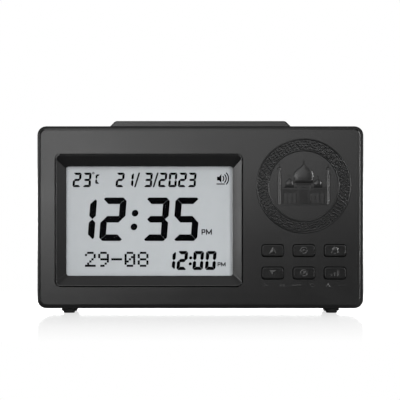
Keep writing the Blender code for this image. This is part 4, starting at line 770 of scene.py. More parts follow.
class CLOCK_OT_finish_relief_picture(bpy.types.Operator):
    """Builds the domed hall with its arcade and slender towers, in low relief"""

    bl_idname = "clock.finish_relief_picture"
    bl_label = "Relief picture"

    def execute(self, context):
        deep = context.scene.clock_relief.picture_height
        cx, cz = RELIEF_CENTRE

        def slab(x, z, width, height, top, foot, edge=SLAB_ROUND):
            size = (width * MM, height * MM)
            return leaning_slab(cx + x * MM, cz + z * MM, *size, deep * top, deep * foot, edge)

        def upright(x, low, high, width, share):
            return pillar(cx + x * MM, cz + low * MM, cz + high * MM, width * MM, deep * share)

        def dome(x, z, radius, height, share):
            return onion(cx + x * MM, cz + z * MM, radius * MM, height * MM, deep * share)

        def knob(x, z, size, share):
            return ball("knob", (cx + x * MM, FACE_Y, cz + z * MM), (size * MM, deep * share, size * MM))

        hall = slab(0, -5.6, 22.4, 7.4, 0.72, 0.30, 0)
        for x in (-9.5, -7.2, -4.9, 4.9, 7.2, 9.5):
            depths = (FACE_Y - deep, FACE_Y + ARCH_ROOT)
            hall = combine(hall, arch_tool(cx + x * MM, cz - 9.0 * MM, 1.6 * MM, 5.6 * MM, *depths))
        porch = slab(0, -4.5, 7.0, 9.6, 0.95, 0.62, 0)
        arch = arch_tool(cx, cz - 8.9 * MM, 4.2 * MM, 8.2 * MM, FACE_Y - 2 * deep, FACE_Y - deep * 0.05)
        porch = combine(porch, arch)
        pieces = [
            soften(hall, HALL_ROUND, 40),
            soften(porch, HALL_ROUND, 40),
            slab(0, -9.7, 25.0, 0.8, 0.55, 1.0),
            slab(0, -1.5, 23.2, 0.9, 0.45, 1.0),
            slab(0, 0.9, 8.0, 1.1, 0.5, 1.05),
            slab(0, 2.2, 9.8, 1.5, 0.85, 0.6),
            dome(0, 5.2, 5.3, 7.6, 1.0),
        ]
        for side in (-1, 1):
            pieces += [
                slab(side * 7.4, -0.3, 4.6, 1.4, 0.85, 0.6),
                dome(side * 7.4, 1.3, 2.2, 3.4, 0.85),
                upright(side * 12.7, -9.6, 6.3, 2.1, 1.0),
                slab(side * 12.7, 1.2, 2.9, 0.7, 0.5, 1.15),
                slab(side * 12.7, 6.0, 2.7, 0.7, 0.5, 1.15),
                upright(side * 12.7, 6.2, 8.4, 1.5, 0.9),
                dome(side * 12.7, 8.7, 1.05, 2.4, 0.9),
                knob(side * 12.7, 11.0, 0.3, 0.7),
                *[upright(side * x, -9.3, -3.2, 0.42, 0.95) for x in (8.35, 6.05, 3.75)],
            ]
        for x, low, high in ((0, 11.6, 14.2), (-7.4, 4.2, 5.7), (7.4, 4.2, 5.7)):
            pieces += [upright(x, low, high, 0.4, 0.7), knob(x, low + 1.0, 0.5, 0.85)]
        pieces += [knob(-11.2 + i * 1.4, -0.85, 0.42, 0.85) for i in range(17)]
        finish(shade(join("relief_domed_hall", pieces), 40), moulded("case"))
        return {"FINISHED"}


def legend_bar(x, z, width, height, front, back, turn=0.0, run=0.0):
    """A raised bar, flat or with a low roof whose slopes are as wide as the run."""
    piece = block("bar", about(x, z, width, height), front, back)
    with editing(piece):
        if run:
            pick(piece, lambda v: v.co.y < (front + back) / 2)
            shrink = [max(0.02, 1 - 2 * run / size) for size in (width, height)]
            bpy.ops.transform.resize(value=(shrink[0], 1, shrink[1]), center_override=(x, front, z))
        bpy.ops.mesh.select_all(action="SELECT")
        if turn:
            bpy.ops.transform.rotate(value=turn, orient_axis="Y", center_override=(x, (front + back) / 2, z))
    return piece


def legend_ring(x, z, radius, stroke, front, back, sides=24):
    """A flat raised ring, as on a dial or a knob."""
    outer = rod("ring", (x, z), radius, front, back, sides)
    inner = rod("hole", (x, z), radius - stroke, front - stroke, back + stroke, sides)
    return combine(outer, inner)


def legend_hoop(x, z, radius, stroke, front, back, sides=28):
    """A rounded raised ring."""
    deselect()
    bpy.ops.mesh.primitive_torus_add(
        major_segments=sides,
        minor_segments=10,
        major_radius=radius,
        minor_radius=stroke / 2,
        location=(x, (front + back) / 2, z),
        rotation=(math.pi / 2, 0, 0),
    )
    return newest("hoop", (1, 1, (back - front) / stroke))


def legend_dot(x, z, radius, front, back):
    return ball("dot", (x, (front + back) / 2, z), (radius, (back - front) / 2, radius))


def legend_triangle(x, z, size, up, front, back):
    """A low three-sided pyramid that points up or down."""
    piece = rod("triangle", (x, z), size, front, back, 3)
    lowest = min(v.co.z for v in piece.data.vertices)
    with editing(piece):
        pick(piece, lambda v: v.co.y < (front + back) / 2)
        bpy.ops.transform.resize(value=(0.12, 1, 0.12), center_override=(x, front, z))
        if (z - lowest > size * 0.8) == up:
            bpy.ops.mesh.select_all(action="SELECT")
            bpy.ops.transform.rotate(value=math.pi, orient_axis="Y", center_override=(x, front, z))
    return piece


def key_legend(name, x, z, front, back):
    """The raised pictogram of one key."""
    lower = front + ROOT

    def bar(dx, dz, width, height, level=front):
        return legend_bar(x + dx * MM, z + dz * MM, width * MM, height * MM, level, back, run=0.6 * MM)

    if name == "key_upper_left":
        return [legend_triangle(x, z - 0.4 * MM, 2.5 * MM, True, front, back)]
    if name == "key_lower_left":
        return [legend_triangle(x, z + 0.4 * MM, 2.5 * MM, False, front, back)]
    if name == "key_upper_middle":
        return [legend_hoop(x, z, 1.6 * MM, 0.95 * MM, front, back), legend_dot(x, z, 0.8 * MM, front, back)]
    if name == "key_lower_middle":
        rim = legend_hoop(x, z, 1.6 * MM, 0.95 * MM, front, back)
        return [rim, bar(0.2, 0.4, 1.2, 2.0, lower), bar(0.6, 0.1, 2.0, 1.2)]
    if name == "key_upper_right":
        bell = legend_dot(x, z + 0.5 * MM, 1.6 * MM, front, back)
        clapper = legend_dot(x, z - 1.6 * MM, 0.6 * MM, front, back)
        return [bell, bar(0, -0.8, 4.2, 1.1, lower), clapper]
    return [bar((i - 1) * 1.7, (height - 3.6) / 2, 1.3, height) for i, height in enumerate((1.4, 2.5, 3.6))]


def keycap_model():
    """The first key's cap, with a shallow dish, a round edge and the flange that keeps it in."""
    cap = grow(key_rect(KEY_NAMES[0]), -KEY_SLACK)
    flange = grow(cap, KEY_FLANGE)
    edge = KEY_ROUND
    stations = [
        (grow(cap, -edge - 2 * KEY_LIP), KEY_CORNER * 0.4, KEY_FLOOR),
        (grow(cap, -edge - KEY_LIP), KEY_CORNER * 0.6, KEY_FRONT),
        (grow(cap, -edge), KEY_CORNER - edge, KEY_FLOOR),
    ]
    for step in range(1, 5):
        lean = math.pi / 2 * step / 4
        inset = edge * (1 - math.sin(lean))
        stations.append((grow(cap, -inset), KEY_CORNER - inset, KEY_FLOOR + edge * (1 - math.cos(lean))))
    stations.append((cap, KEY_CORNER, KEY_FLANGE_FRONT))
    stations += [(flange, KEY_CORNER, level) for level in (KEY_FLANGE_FRONT, KEY_FLANGE_BACK)]
    return shade(stepped("keycap_model", stations), 15)


class CLOCK_OT_finish_keys(bpy.types.Operator):
    """Builds the six dished keycaps with their raised pictograms"""

    bl_idname = "clock.finish_keys"
    bl_label = "Keys"

    def execute(self, context):
        model = keycap_model()
        first = key_rect(KEY_NAMES[0])
        for name in KEY_NAMES:
            place = key_rect(name)
            shift = Vector((place[0] - first[0], 0, place[2] - first[2]))
            keycap = paint(copy_of(model, "keycap", shift), moulded("key"))
            low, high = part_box(name)
            x, z = (low.x + high.x) / 2, (low.z + high.z) / 2
            legend = key_legend(name, x, z, KEY_FLOOR - LEGEND_HEIGHT, KEY_FLOOR + ROOT)
            for piece in legend:
                paint(shade(piece, 15), moulded("legend"))
            stem = block("stem", about(x, z, *KEY_STEM), KEY_FLANGE_BACK, high.y)
            # The stem gets the painted groove shade, which stands in for the shade inside the key's hole
            paint(stem, moulded("groove"))
            dressed = join(name.replace("key_", "keycap_"), [keycap, *legend, stem])
            finish(dressed, body=name)
            # The key's sides and flange behind the face get painted shade
            paint_groove_shade(dressed, points_behind)
            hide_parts(name)
        bpy.data.objects.remove(model)
        return {"FINISHED"}


class CLOCK_OT_finish_marks(bpy.types.Operator):
    """Builds the small raised marks under the lower row of keys"""

    bl_idname = "clock.finish_marks"
    bl_label = "Small marks"

    def execute(self, context):
        front, back = FACE_Y - MARK_HEIGHT, FACE_Y + ROOT
        z = MARKS_Z

        def bar(x, width, height, level=front):
            return legend_bar(x * MM, z, width * MM, height * MM, level, back, run=0.48 * MM)

        pieces = [bar(33.5, 3.2, 1.0), bar(33.5, 1.0, 2.4, front - ROOT), bar(73.9, 3.2, 1.0)]
        pieces += [bar(x, 1.0, 2.2) for x in (41.8, 43.5)]
        pieces += [legend_dot(x * MM, z, 0.7 * MM, front, back) for x in (48.6, 50.2, 51.8)]
        pieces.append(legend_hoop(58.1 * MM, z, 0.9 * MM, 0.7 * MM, front, back))
        pieces.append(legend_triangle(66.4 * MM, z, 1.5 * MM, True, front, back))
        finish(shade(join("raised_marks", pieces), 15), moulded("case"))
        return {"FINISHED"}


def turned_to_back(pieces):
    """Turns pieces made for the front half a turn about the upright axis."""
    for piece in pieces:
        piece.data.transform(Matrix.Rotation(math.pi, 4, "Z"))
    return pieces


class CLOCK_OT_finish_back_marks(bpy.types.Operator):
    """Builds the raised polarity sign over the power socket"""

    bl_idname = "clock.finish_back_marks"
    bl_label = "Back marks"

    def execute(self, context):
        front, back = -REAR_BACK_Y - SIGN_HEIGHT, -REAR_BACK_Y + ROOT
        low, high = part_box("power_jack")
        x, z = -(low.x + high.x) / 2, (low.z + high.z) / 2 + SIGN_OVER_SOCKET

        def bar(dx, width, height, level=front):
            return legend_bar(x + dx * MM, z, width * MM, height * MM, level, back, run=0.28 * MM)

        pieces = [legend_hoop(x, z, 1.5 * MM, 0.6 * MM, front, back), legend_dot(x, z, 0.6 * MM, front, back)]
        for side in (-1, 1):
            pieces += [bar(side * 2.75, 1.3, 0.6), bar(side * 5.2, 2.0, 0.6)]
        pieces.append(bar(-5.2, 0.6, 2.0, front - ROOT))
        sign = join("back_polarity_sign", turned_to_back(pieces))
        finish(shade(sign, 15), moulded("legend"))
        return {"FINISHED"}


class CLOCK_OT_finish_bar(bpy.types.Operator):
    """Builds the press bar on top of the case"""

    bl_idname = "clock.finish_bar"
    bl_label = "Press bar"

    def execute(self, context):
        softness = context.scene.clock_case.edge_softness
        bar = cast_of("snooze_bar", "press_bar", softness)
        finish(bar, moulded("case"), body="snooze_bar")
        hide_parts("snooze_bar")
        return {"FINISHED"}


class CLOCK_OT_finish_door(bpy.types.Operator):
    """Builds the battery door with its latch grooves and a raised arrow"""

    bl_idname = "clock.finish_door"
    bl_label = "Battery door"

    def execute(self, context):
        softness = context.scene.clock_case.edge_softness
        door = paint(cast_of("battery_door", "battery_lid", softness), moulded("case"))
        low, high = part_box("battery_door")
        x, z = -(low.x + high.x) / 2, low.z + ARROW_OVER_DOOR_FOOT
        arrow = legend_triangle(x, z, ARROW_SIZE, False, -high.y - ARROW_HEIGHT, -high.y + ROOT)
        turned_to_back([shade(paint(arrow, moulded("legend")), 15)])
        finish(join("battery_lid", [door, arrow]), body="battery_door")
        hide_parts("battery_door")
        return {"FINISHED"}


class CLOCK_OT_finish_feet(bpy.types.Operator):
    """Builds the four rubber feet"""

    bl_idname = "clock.finish_feet"
    bl_label = "Feet"

    def execute(self, context):
        for node in ("foot_front_left", "foot_front_right", "foot_rear_left", "foot_rear_right"):
            low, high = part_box(node)
            foot = cast_of(node, node.replace("foot", "rubber_foot"))
            middle = ((low.x + high.x) / 2, (low.y + high.y) / 2, 0)
            rings = ((FOOT_STEP, FOOT_FLANGE), (FOOT_STEP - FOOT_STEP_HEIGHT, FOOT_DISC))
            with editing(foot):
                for level, times in rings:
                    bpy.ops.mesh.select_all(action="SELECT")
                    bpy.ops.mesh.bisect(plane_co=(0, 0, level), plane_no=(0, 0, 1))
                for level, times in rings:
                    pick(foot, lambda v: abs(v.co.z - level) < HAIR)
                    bpy.ops.transform.resize(value=(times, times, 1), center_override=middle)
            finish(shade(soften(foot, FOOT_ROUND, 40)), moulded("foot"))
            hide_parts(node)
        return {"FINISHED"}


# ---- the display


class ClockDisplaySettings(bpy.types.PropertyGroup):
    time: StringProperty(name="Time", description="Large figures, as hours and minutes", default="12:35")
    date: StringProperty(name="Date", description="Small figures along the top", default="21/ 3/2023")
    temperature: StringProperty(name="Temperature", description="Figures at the upper left", default="23")
    dots: StringProperty(name="Dot figures", description="Five dot-matrix places", default="29-08")
    next_time: StringProperty(name="Next time", description="Figures at the lower right", default="12:00")
    ink: FloatVectorProperty(
        name="Segment colour",
        description="Colour of the dark segments",
        subtype="COLOR",
        default=(0.0006, 0.0006, 0.001),
    )
    glass: FloatVectorProperty(
        name="Display colour",
        description="Colour of the unlit display",
        subtype="COLOR",
        default=(0.42, 0.442, 0.458),
    )


# The bars of each figure, lettered round from the top with g in the middle
BARS_OF = dict(
    zip("0123456789-C", "abcdef bc abged abgcd fgbc afgcd afgecd abc abcdefg abcdfg g afed".split())
)
# The dots of each figure, row by row from the top
DOTS_OF = {
    "0": "01110 10001 10011 10101 11001 10001 01110",
    "1": "00100 01100 00100 00100 00100 00100 01110",
    "2": "01110 10001 00001 00010 00100 01000 11111",
    "3": "11111 00010 00100 00010 00001 10001 01110",
    "4": "00010 00110 01010 10010 11111 00010 00010",
    "5": "11111 10000 11110 00001 00001 10001 01110",
    "6": "00110 01000 10000 11110 10001 10001 01110",
    "7": "11111 00001 00010 00100 01000 01000 01000",
    "8": "01110 10001 10001 01110 10001 10001 01110",
    "9": "01110 10001 10001 01111 00001 00010 01100",
    "-": "00000 00000 00000 11111 00000 00000 00000",
}
INK_FRONT = GLASS_LOW.y - 0.00006
INK_BACK = GLASS_LOW.y - 0.00002
SLANT = 0.077
STROKE_SLANT = 0.23
COLON_HEIGHTS = (0.325, 0.64)


def segment(letter, width, height, stroke, gap):
    """One bar of a seven-bar figure that starts at the origin, with its ends cut to blunt mitres."""
    middle = height / 2
    blunt, mitre, point = stroke * 0.24, stroke * 0.74, stroke * 0.48
    tip = blunt + gap
    rect = {
        "a": (tip, width - tip, height - stroke, height),
        "d": (tip, width - tip, 0, stroke),
        "g": (point + gap, width - point - gap, middle - stroke / 2, middle + stroke / 2),
        "b": (width - stroke, width, middle + gap, height - tip),
        "c": (width - stroke, width, tip, middle - gap),
        "f": (0, stroke, middle + gap, height - tip),
        "e": (0, stroke, tip, middle - gap),
    }[letter]
    piece = block(f"bar_{letter}", rect, INK_FRONT, INK_BACK)
    outward = {"a": (0, 1), "d": (0, -1), "g": (0, 0)}.get(letter, (1 if letter in "bc" else -1, 0))
    far_end = {"b": 1, "f": 1, "c": -1, "e": -1}.get(letter, 0)
    for side, rise in ((-1, -1), (-1, 1), (1, -1), (1, 1)):
        outer = side * outward[0] + rise * outward[1] > 0
        cut = blunt if outer else mitre
        if letter == "g" or (far_end and rise != far_end):
            cut = point
        x, z = rect[1 if side > 0 else 0], rect[3 if rise > 0 else 2]

        def at_corner(edge):
            place = edge.verts[0].co
            return upright_edge(edge) and abs(place.x - x) < gap * 0.01 and abs(place.z - z) < gap * 0.01

        with editing(piece, "EDGE"):
            if pick(piece, at_corner, "edges"):
                bpy.ops.mesh.bevel(offset=cut, segments=1, affect="EDGES", clamp_overlap=False)
    return piece


def figures(name, words, places, low, width, height, stroke, gap, dot):
    """Seven-bar figures on one line. places has the left edge of each at its foot, or of the bars of a 1."""
    models = {letter: segment(letter, width, height, stroke, gap) for letter in "abcdefg"}
    pieces = []
    for word, left in zip(words, places):
        if word in BARS_OF:
            start = left - (width - stroke if word == "1" else 0)
            for letter in BARS_OF[word]:
                pieces.append(copy_of(models[letter], "bar", (start, 0, low)))
        elif word == ":":
            for share in COLON_HEIGHTS:
                pieces.append(rod("dot", (left, low + height * share), dot, INK_FRONT, INK_BACK, 24))
        elif word == "/":
            stripe = block("stroke", (left, left + stroke * 0.7, low, low + height), INK_FRONT, INK_BACK)
            stripe.data.transform(shear(STROKE_SLANT, low))
            pieces.append(stripe)
    for model in models.values():
        bpy.data.objects.remove(model)
    line = join(name, pieces)
    line.data.transform(shear(SLANT, low))
    return line


def shear(amount, base):
    """Slants what stands on a height, to the right as it rises."""
    lean = Matrix.Identity(4)
    lean[0][2] = amount
    lean[0][3] = -amount * base
    return lean


def ink_line(start, end, stroke):
    """A flat bar of ink between two points."""
    across, up = end[0] - start[0], end[1] - start[1]
    middle = ((start[0] + end[0]) / 2, (start[1] + end[1]) / 2)
    length = math.hypot(across, up) + stroke
    return legend_bar(*middle, length, stroke, INK_FRONT, INK_BACK, math.atan2(up, across))


def half_day_letters(name, x, z, height, stroke):
    """The letters of an afternoon hour, their lower left corner at a place."""
    low, high, waist = z + stroke / 2, z + height - stroke / 2, z + 0.44 * height
    stem, bowl = x + stroke / 2, x + 0.60 * height
    left, right = x + 0.92 * height, x + 1.80 * height
    valley = ((left + right) / 2, z + 0.20 * height)
    lines = (
        ((stem, low), (stem, high)),
        ((stem, high), (bowl - 0.08 * height, high)),
        ((stem, waist), (bowl - 0.08 * height, waist)),
        ((bowl, waist + 0.07 * height), (bowl, high - 0.07 * height)),
        ((left, low), (left, high)),
        ((left, high), valley),
        (valley, (right, high)),
        ((right, low), (right, high)),
    )
    return join(name, [ink_line(*line, stroke) for line in lines])


def display_ink():
    material, tree, shader = start_material("Liquid crystal ink", Roughness=0.35, Specular_IOR_Level=0.0)
    ink = bpy.context.scene.clock_display.ink
    tone = blend(tree, noise(tree, place_in(tree), 120.0), ink, [value * 1.8 for value in ink])
    fill(tree, shader, Base_Color=tone)
    return material


def display_glass():
    """The reflective back of the liquid crystal, with painted light that makes it brighter to the upper left,
    and a fine speckle.
    """
    material, tree, shader = start_material("Liquid crystal glass", Roughness=0.55, Specular_IOR_Level=0.3)
    place = place_in(tree)
    # Painted light: the glass is made up to 8% brighter towards the upper left, as if lit from there
    reach = GLASS_LOW.x + (GLASS_HIGH.x - GLASS_LOW.x) * 0.55
    across = ramp(tree, along(tree, place, "X"), 1.0, 0.0, GLASS_LOW.x, reach)
    height = ramp(tree, along(tree, place, "Z"), 0.0, 1.0, GLASS_LOW.z, GLASS_HIGH.z)
    glass = bpy.context.scene.clock_display.glass
    painted_light_tone = (glass[0] * 1.08, glass[1] * 1.07, glass[2] * 1.07)
    tone = blend(tree, maths(tree, "MULTIPLY", across, height), glass, painted_light_tone)
    speckle = ramp(tree, noise(tree, place, 260.0), 0.985, 1.015, 0.3, 0.7)
    fill(tree, shader, Base_Color=blend(tree, 1.0, tone, speckle, "MULTIPLY"))
    return material


def clear_lens():
    """Thin clear plastic, which dims what is behind it a little and has a faint haze."""
    material, tree, shader = start_material("Clear lens", Roughness=0.08, Base_Color=(0.10, 0.11, 0.11))
    fill(tree, shader, Alpha=ramp(tree, noise(tree, place_in(tree), 45.0, 3.0), 0.003, 0.006, 0.3, 0.7))
    material.surface_render_method = "BLENDED"
    return material


class CLOCK_OT_finish_display(bpy.types.Operator):
    """Builds the figures and symbols of the display, its glass and the lens"""

    bl_idname = "clock.finish_display"
    bl_label = "Display"

    def execute(self, context):
        shown = context.scene.clock_display
        left, top = WINDOW_RECT[0], WINDOW_RECT[3]

        def level(drop):
            return top - drop * MM

        def line(name, words, places, low, sizes):
            starts = [left + place * MM for place in places]
            return figures(name, words, starts, level(low), *[size * MM for size in sizes])

        # Each line: name, figures, left edges, foot, sizes (width, height, stroke, gap, dot)
        date_places = (25.55, 33.55, 35.3, 38.0, 40.25, 45.0, 47.85, 53.1, 58.15, 63.15)
        small = (4.35, 7.62, 1.22, 0.08, 0.4)
        time_places, next_places = (10.85, 16.9, 34.7, 39.5, 55.35), (54.85, 57.4, 64.45, 65.75, 72.3)
        rows = (
            ("lcd_time", shown.time, time_places, 39.0, (12.9, 22.75, 3.45, 0.11, 1.75)),
            ("lcd_next_time", shown.next_time, next_places, 54.2, (5.5, 9.98, 1.75, 0.09, 0.85)),
            ("lcd_temperature", shown.temperature, (3.0, 8.2), 10.85, small),
            ("lcd_date", shown.date, date_places, 10.85, small),
        )
        made = [line(*row) for row in rows]
        made.append(self.dot_figures(shown.dots, left + 10.16 * MM, level(45.2)))
        for name, x, drop, height, stroke in (
            ("lcd_pm", 70.6, 35.7, 2.85, 0.56),
            ("lcd_small_pm", 79.0, 52.3, 2.2, 0.45),
        ):
            made.append(half_day_letters(name, left + x * MM, level(drop), height * MM, stroke * MM))
        made.append(line("lcd_celsius", "C", (14.9,), 9.05, (2.3, 4.9, 0.95, 0.05, 0.2)))
        degree = legend_ring(left + 14.0 * MM, level(3.5), 0.6 * MM, 0.34 * MM, INK_FRONT, INK_BACK)
        degree.name = "lcd_degree"
        made += [degree, self.sound_symbol(left + 82.0 * MM, level(5.83))]
        ink = display_ink()
        for piece in made:
            finish(piece, ink)
        paint(frame["nodes"]["lcd_panel"], display_glass())
        paint(frame["nodes"]["display_lens"], clear_lens())
        return {"FINISHED"}

    def dot_figures(self, words, x, z):
        """Figures in square dots, five across and seven down."""
        pitch, size, advance = 1.13 * MM, 1.11 * MM, 6.9 * MM
        dot = block("dot", about(0, 0, size, size), INK_FRONT, INK_BACK)
        pieces = []
        for place, word in enumerate(words):
            for row, line in enumerate(DOTS_OF.get(word, "").split()):
                for column, on in enumerate(line):
                    if on == "1":
                        shift = (x + place * advance + column * pitch, 0, z - row * pitch)
                        pieces.append(copy_of(dot, "dot", shift))
        bpy.data.objects.remove(dot)
        return join("lcd_dot_figures", pieces)

    def sound_symbol(self, x, z):
        """A loudspeaker with three waves, over a short line."""
        middle = z - 0.5 * MM
        magnet = block("magnet", about(x - 2.75 * MM, middle, 1.1 * MM, 1.9 * MM), INK_FRONT, INK_BACK)
        horn = block("horn", about(x - 1.6 * MM, middle, 1.2 * MM, 1.9 * MM), INK_FRONT, INK_BACK)
        with editing(horn):
            pick(horn, lambda v: v.co.x > x - 1.6 * MM)
            bpy.ops.transform.resize(value=(1, 1, 2.5), center_override=(x, INK_FRONT, middle))
        pieces = [magnet, horn]
        centre = (x - 1.6 * MM, middle)
        for radius in (2.15, 3.4, 4.65):
            wave = legend_ring(*centre, radius * MM, 0.62 * MM, INK_FRONT, INK_BACK, 48)
            half = 3.4 * MM
            reach = centre[0] + half * math.sqrt(2)
            depths = (INK_FRONT - MM, INK_BACK + MM)
            sector = legend_bar(reach, middle, 2 * half, 2 * half, *depths, math.pi / 4)
            pieces.append(combine(wave, sector, "INTERSECT"))
        stand = about(x - 1.4 * MM, z - 3.35 * MM, 4.4 * MM, 0.55 * MM)
        pieces.append(block("stand", stand, INK_FRONT, INK_BACK))
        return join("lcd_sound_symbol", pieces)


# ---- what is inside

CELL_BAND = 0.0145
CELL_BAND_BLUR = 0.0005
# Which nodes have which finish, by how their names start
INNER_FINISHES = {
    "screw": ("board_screw", "case_screw", "speaker_screw"),
    "nickel": ("contact_", "jack_pin"),
    "pressed": ("speaker_basket", "quartz_crystal"),
    "silicone": ("zebra_strip",),
    "white": ("lcd_holder", "light_guide", "backlight_led"),
    "component": ("power_jack", "speaker_gasket", "clock_chip", "filter_capacitor", "speaker_magnet"),
    "board": ("main_board", "snooze_board"),
    "paper": ("speaker_cone",),
    "cell": ("battery_cell",),
    "lead": ("speaker_lead", "battery_lead", "thermistor"),
}


def board_finish():
    """Green mask over copper tracks, with tinned pads."""
    material, tree, shader = start_material("Green circuit board")
    place = place_in(tree)
    flat = add(tree, "Mapping", "Vector", Vector=place, Rotation=(math.pi / 2, 0, 0))
    green = {"Color1": (0.012, 0.09, 0.03), "Color2": (0.016, 0.11, 0.036), "Mortar": (0.05, 0.24, 0.07)}
    tracks = add(tree, "TexBrick", "Color", Vector=flat, Scale=160.0, Mortar_Size=0.08, **green)
    fill(tree, shader, Base_Color=tracks, Roughness=ramp(tree, noise(tree, place, 300.0), 0.28, 0.45))
    return material


def cell_finish():
    """A plain foil sleeve, grey with a pale band at one end of the bay."""
    material, tree, shader = start_material("Plain cell sleeve", Metallic=0.6)
    place = place_in(tree)
    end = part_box("battery_cell_1")[1].x
    band = ramp(tree, along(tree, place, "X"), 0.0, 1.0, end - CELL_BAND, end - CELL_BAND + CELL_BAND_BLUR)
    tone = blend(tree, band, (0.10, 0.13, 0.17), (0.62, 0.62, 0.60))
    fill(tree, shader, Base_Color=tone, Roughness=ramp(tree, noise(tree, place, 220.0), 0.28, 0.42))
    return material


def flatten(piece):
    """Gives a springy piece a mesh of its own."""
    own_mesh(piece)


class CLOCK_OT_finish_springs(bpy.types.Operator):
    """Builds the rubber sheet with a dome for each key, and the dome and springs under the bar"""

    bl_idname = "clock.finish_springs"
    bl_label = "Domes and springs"

    def execute(self, context):
        low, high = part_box("key_membrane")
        face = high.y - SHEET_THICKNESS
        sheet = block("silicone_sheet", rect_of(low, high), face, high.y)
        finish(shade(soften(sheet, SHEET_ROUND)), moulded("silicone"))
        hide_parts("key_membrane")
        for key in KEY_NAMES:
            x, z = middle_of(key_rect(key))
            name = key.replace("key", "silicone_dome")
            dome = rod(name, (x, z), DOME_BASE_RADIUS, low.y, face + DOME_ROOT, 40)
            with editing(dome, "FACE"):
                pick(dome, lambda f: f.normal.y < -0.9, "faces")
                narrower = (DOME_NARROWING, 1, DOME_NARROWING)
                bpy.ops.transform.resize(value=narrower, center_override=(x, low.y, z))
                bpy.ops.mesh.inset(thickness=DOME_PAD, depth=-DOME_ROUND)
            finish(shade(soften(dome, DOME_ROUND, 25)), moulded("silicone"))
            flatten(dome)
        for node, name, material, slot in (
            ("snooze_dome", "bar_contact_dome", moulded("silicone"), "membrane_silicone"),
            ("snooze_spring_left", "bar_spring_left", metal("nickel"), "spring_steel"),
            ("snooze_spring_right", "bar_spring_right", metal("nickel"), "spring_steel"),
        ):
            low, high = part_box(node)
            piece = finish(cast_of(node, name), material)
            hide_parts(node)
            flatten(piece)
        return {"FINISHED"}


class CLOCK_OT_finish_inside(bpy.types.Operator):
    """Gives the pieces inside the case their finishes"""

    bl_idname = "clock.finish_inside"
    bl_label = "Inner pieces"

    def execute(self, context):
        for kind, starts in INNER_FINISHES.items():
            if kind in ("board", "cell"):
                material = board_finish() if kind == "board" else cell_finish()
            else:
                material = metal(kind) if kind in METALS else moulded(kind)
            for node, piece in frame["nodes"].items():
                if node.startswith(starts):
                    paint(piece, material)
        return {"FINISHED"}


# ---- the studio

SENSOR_WIDTH = 36.0
CAMERA_X = -0.0002
FLOOR_SIZE = 8.0
BACK_STRIP_SHARE = 0.12


class ClockStageSettings(bpy.types.PropertyGroup):
    camera_distance: FloatProperty(
        name="Camera distance", description="From the face of the clock", unit="LENGTH", default=1.2
    )
    camera_height: FloatProperty(
        name="Camera height", description="Over the floor", unit="LENGTH", default=0.0591
    )
    frame_width: FloatProperty(
        name="Frame width", description="Width of the picture at the face", unit="LENGTH", default=0.2082
    )
    key_power: FloatProperty(
        name="Key light", description="Wide low light at the left", unit="POWER", default=1.73
    )
    near_power: FloatProperty(
        name="Near key light", description="Small light at the upper left", unit="POWER", default=0.265
    )
    fill_power: FloatProperty(
        name="Fill light", description="Soft light over the camera", unit="POWER", default=0.90
    )
    top_power: FloatProperty(
        name="Top light", description="Soft light high in front", unit="POWER", default=2.1
    )
    left_power: FloatProperty(
        name="Left strip", description="Strip beside the clock, at its left", unit="POWER", default=0.63
    )
    right_power: FloatProperty(
        name="Right strip", description="Narrow strip in front, at the right", unit="POWER", default=4.2
    )
    edge_power: FloatProperty(
        name="Right edge light", description="Weak light beside it, at its right", unit="POWER", default=0.09
    )
    back_power: FloatProperty(
        name="Back light", description="Soft light behind the clock", unit="POWER", default=24.0
    )


def area_light(name, place, aim, size, power, mirrored=True):
    deselect()
    bpy.ops.object.light_add(type="AREA", location=place)
    lamp = bpy.context.view_layer.objects.active
    lamp.name = name
    lamp.data.shape = "RECTANGLE"
    lamp.data.size, lamp.data.size_y = size
    lamp.data.energy = power
    lamp.rotation_euler = (Vector(aim) - Vector(place)).to_track_quat("-Z", "Y").to_euler()
    lamp.visible_camera = False
    lamp.visible_glossy = mirrored
    return lamp


def seen_directly(tree):
    """1 where a ray comes from the camera."""
    return add(tree, "LightPath", "Is Camera Ray")


def shown_as(tree, share, first, second):
    """One shader blended into another."""
    mix = tree.nodes.new("ShaderNodeMixShader")
    for socket, source in zip(mix.inputs, (share, first, second)):
        tree.links.new(source, socket)
    return mix.outputs[0]


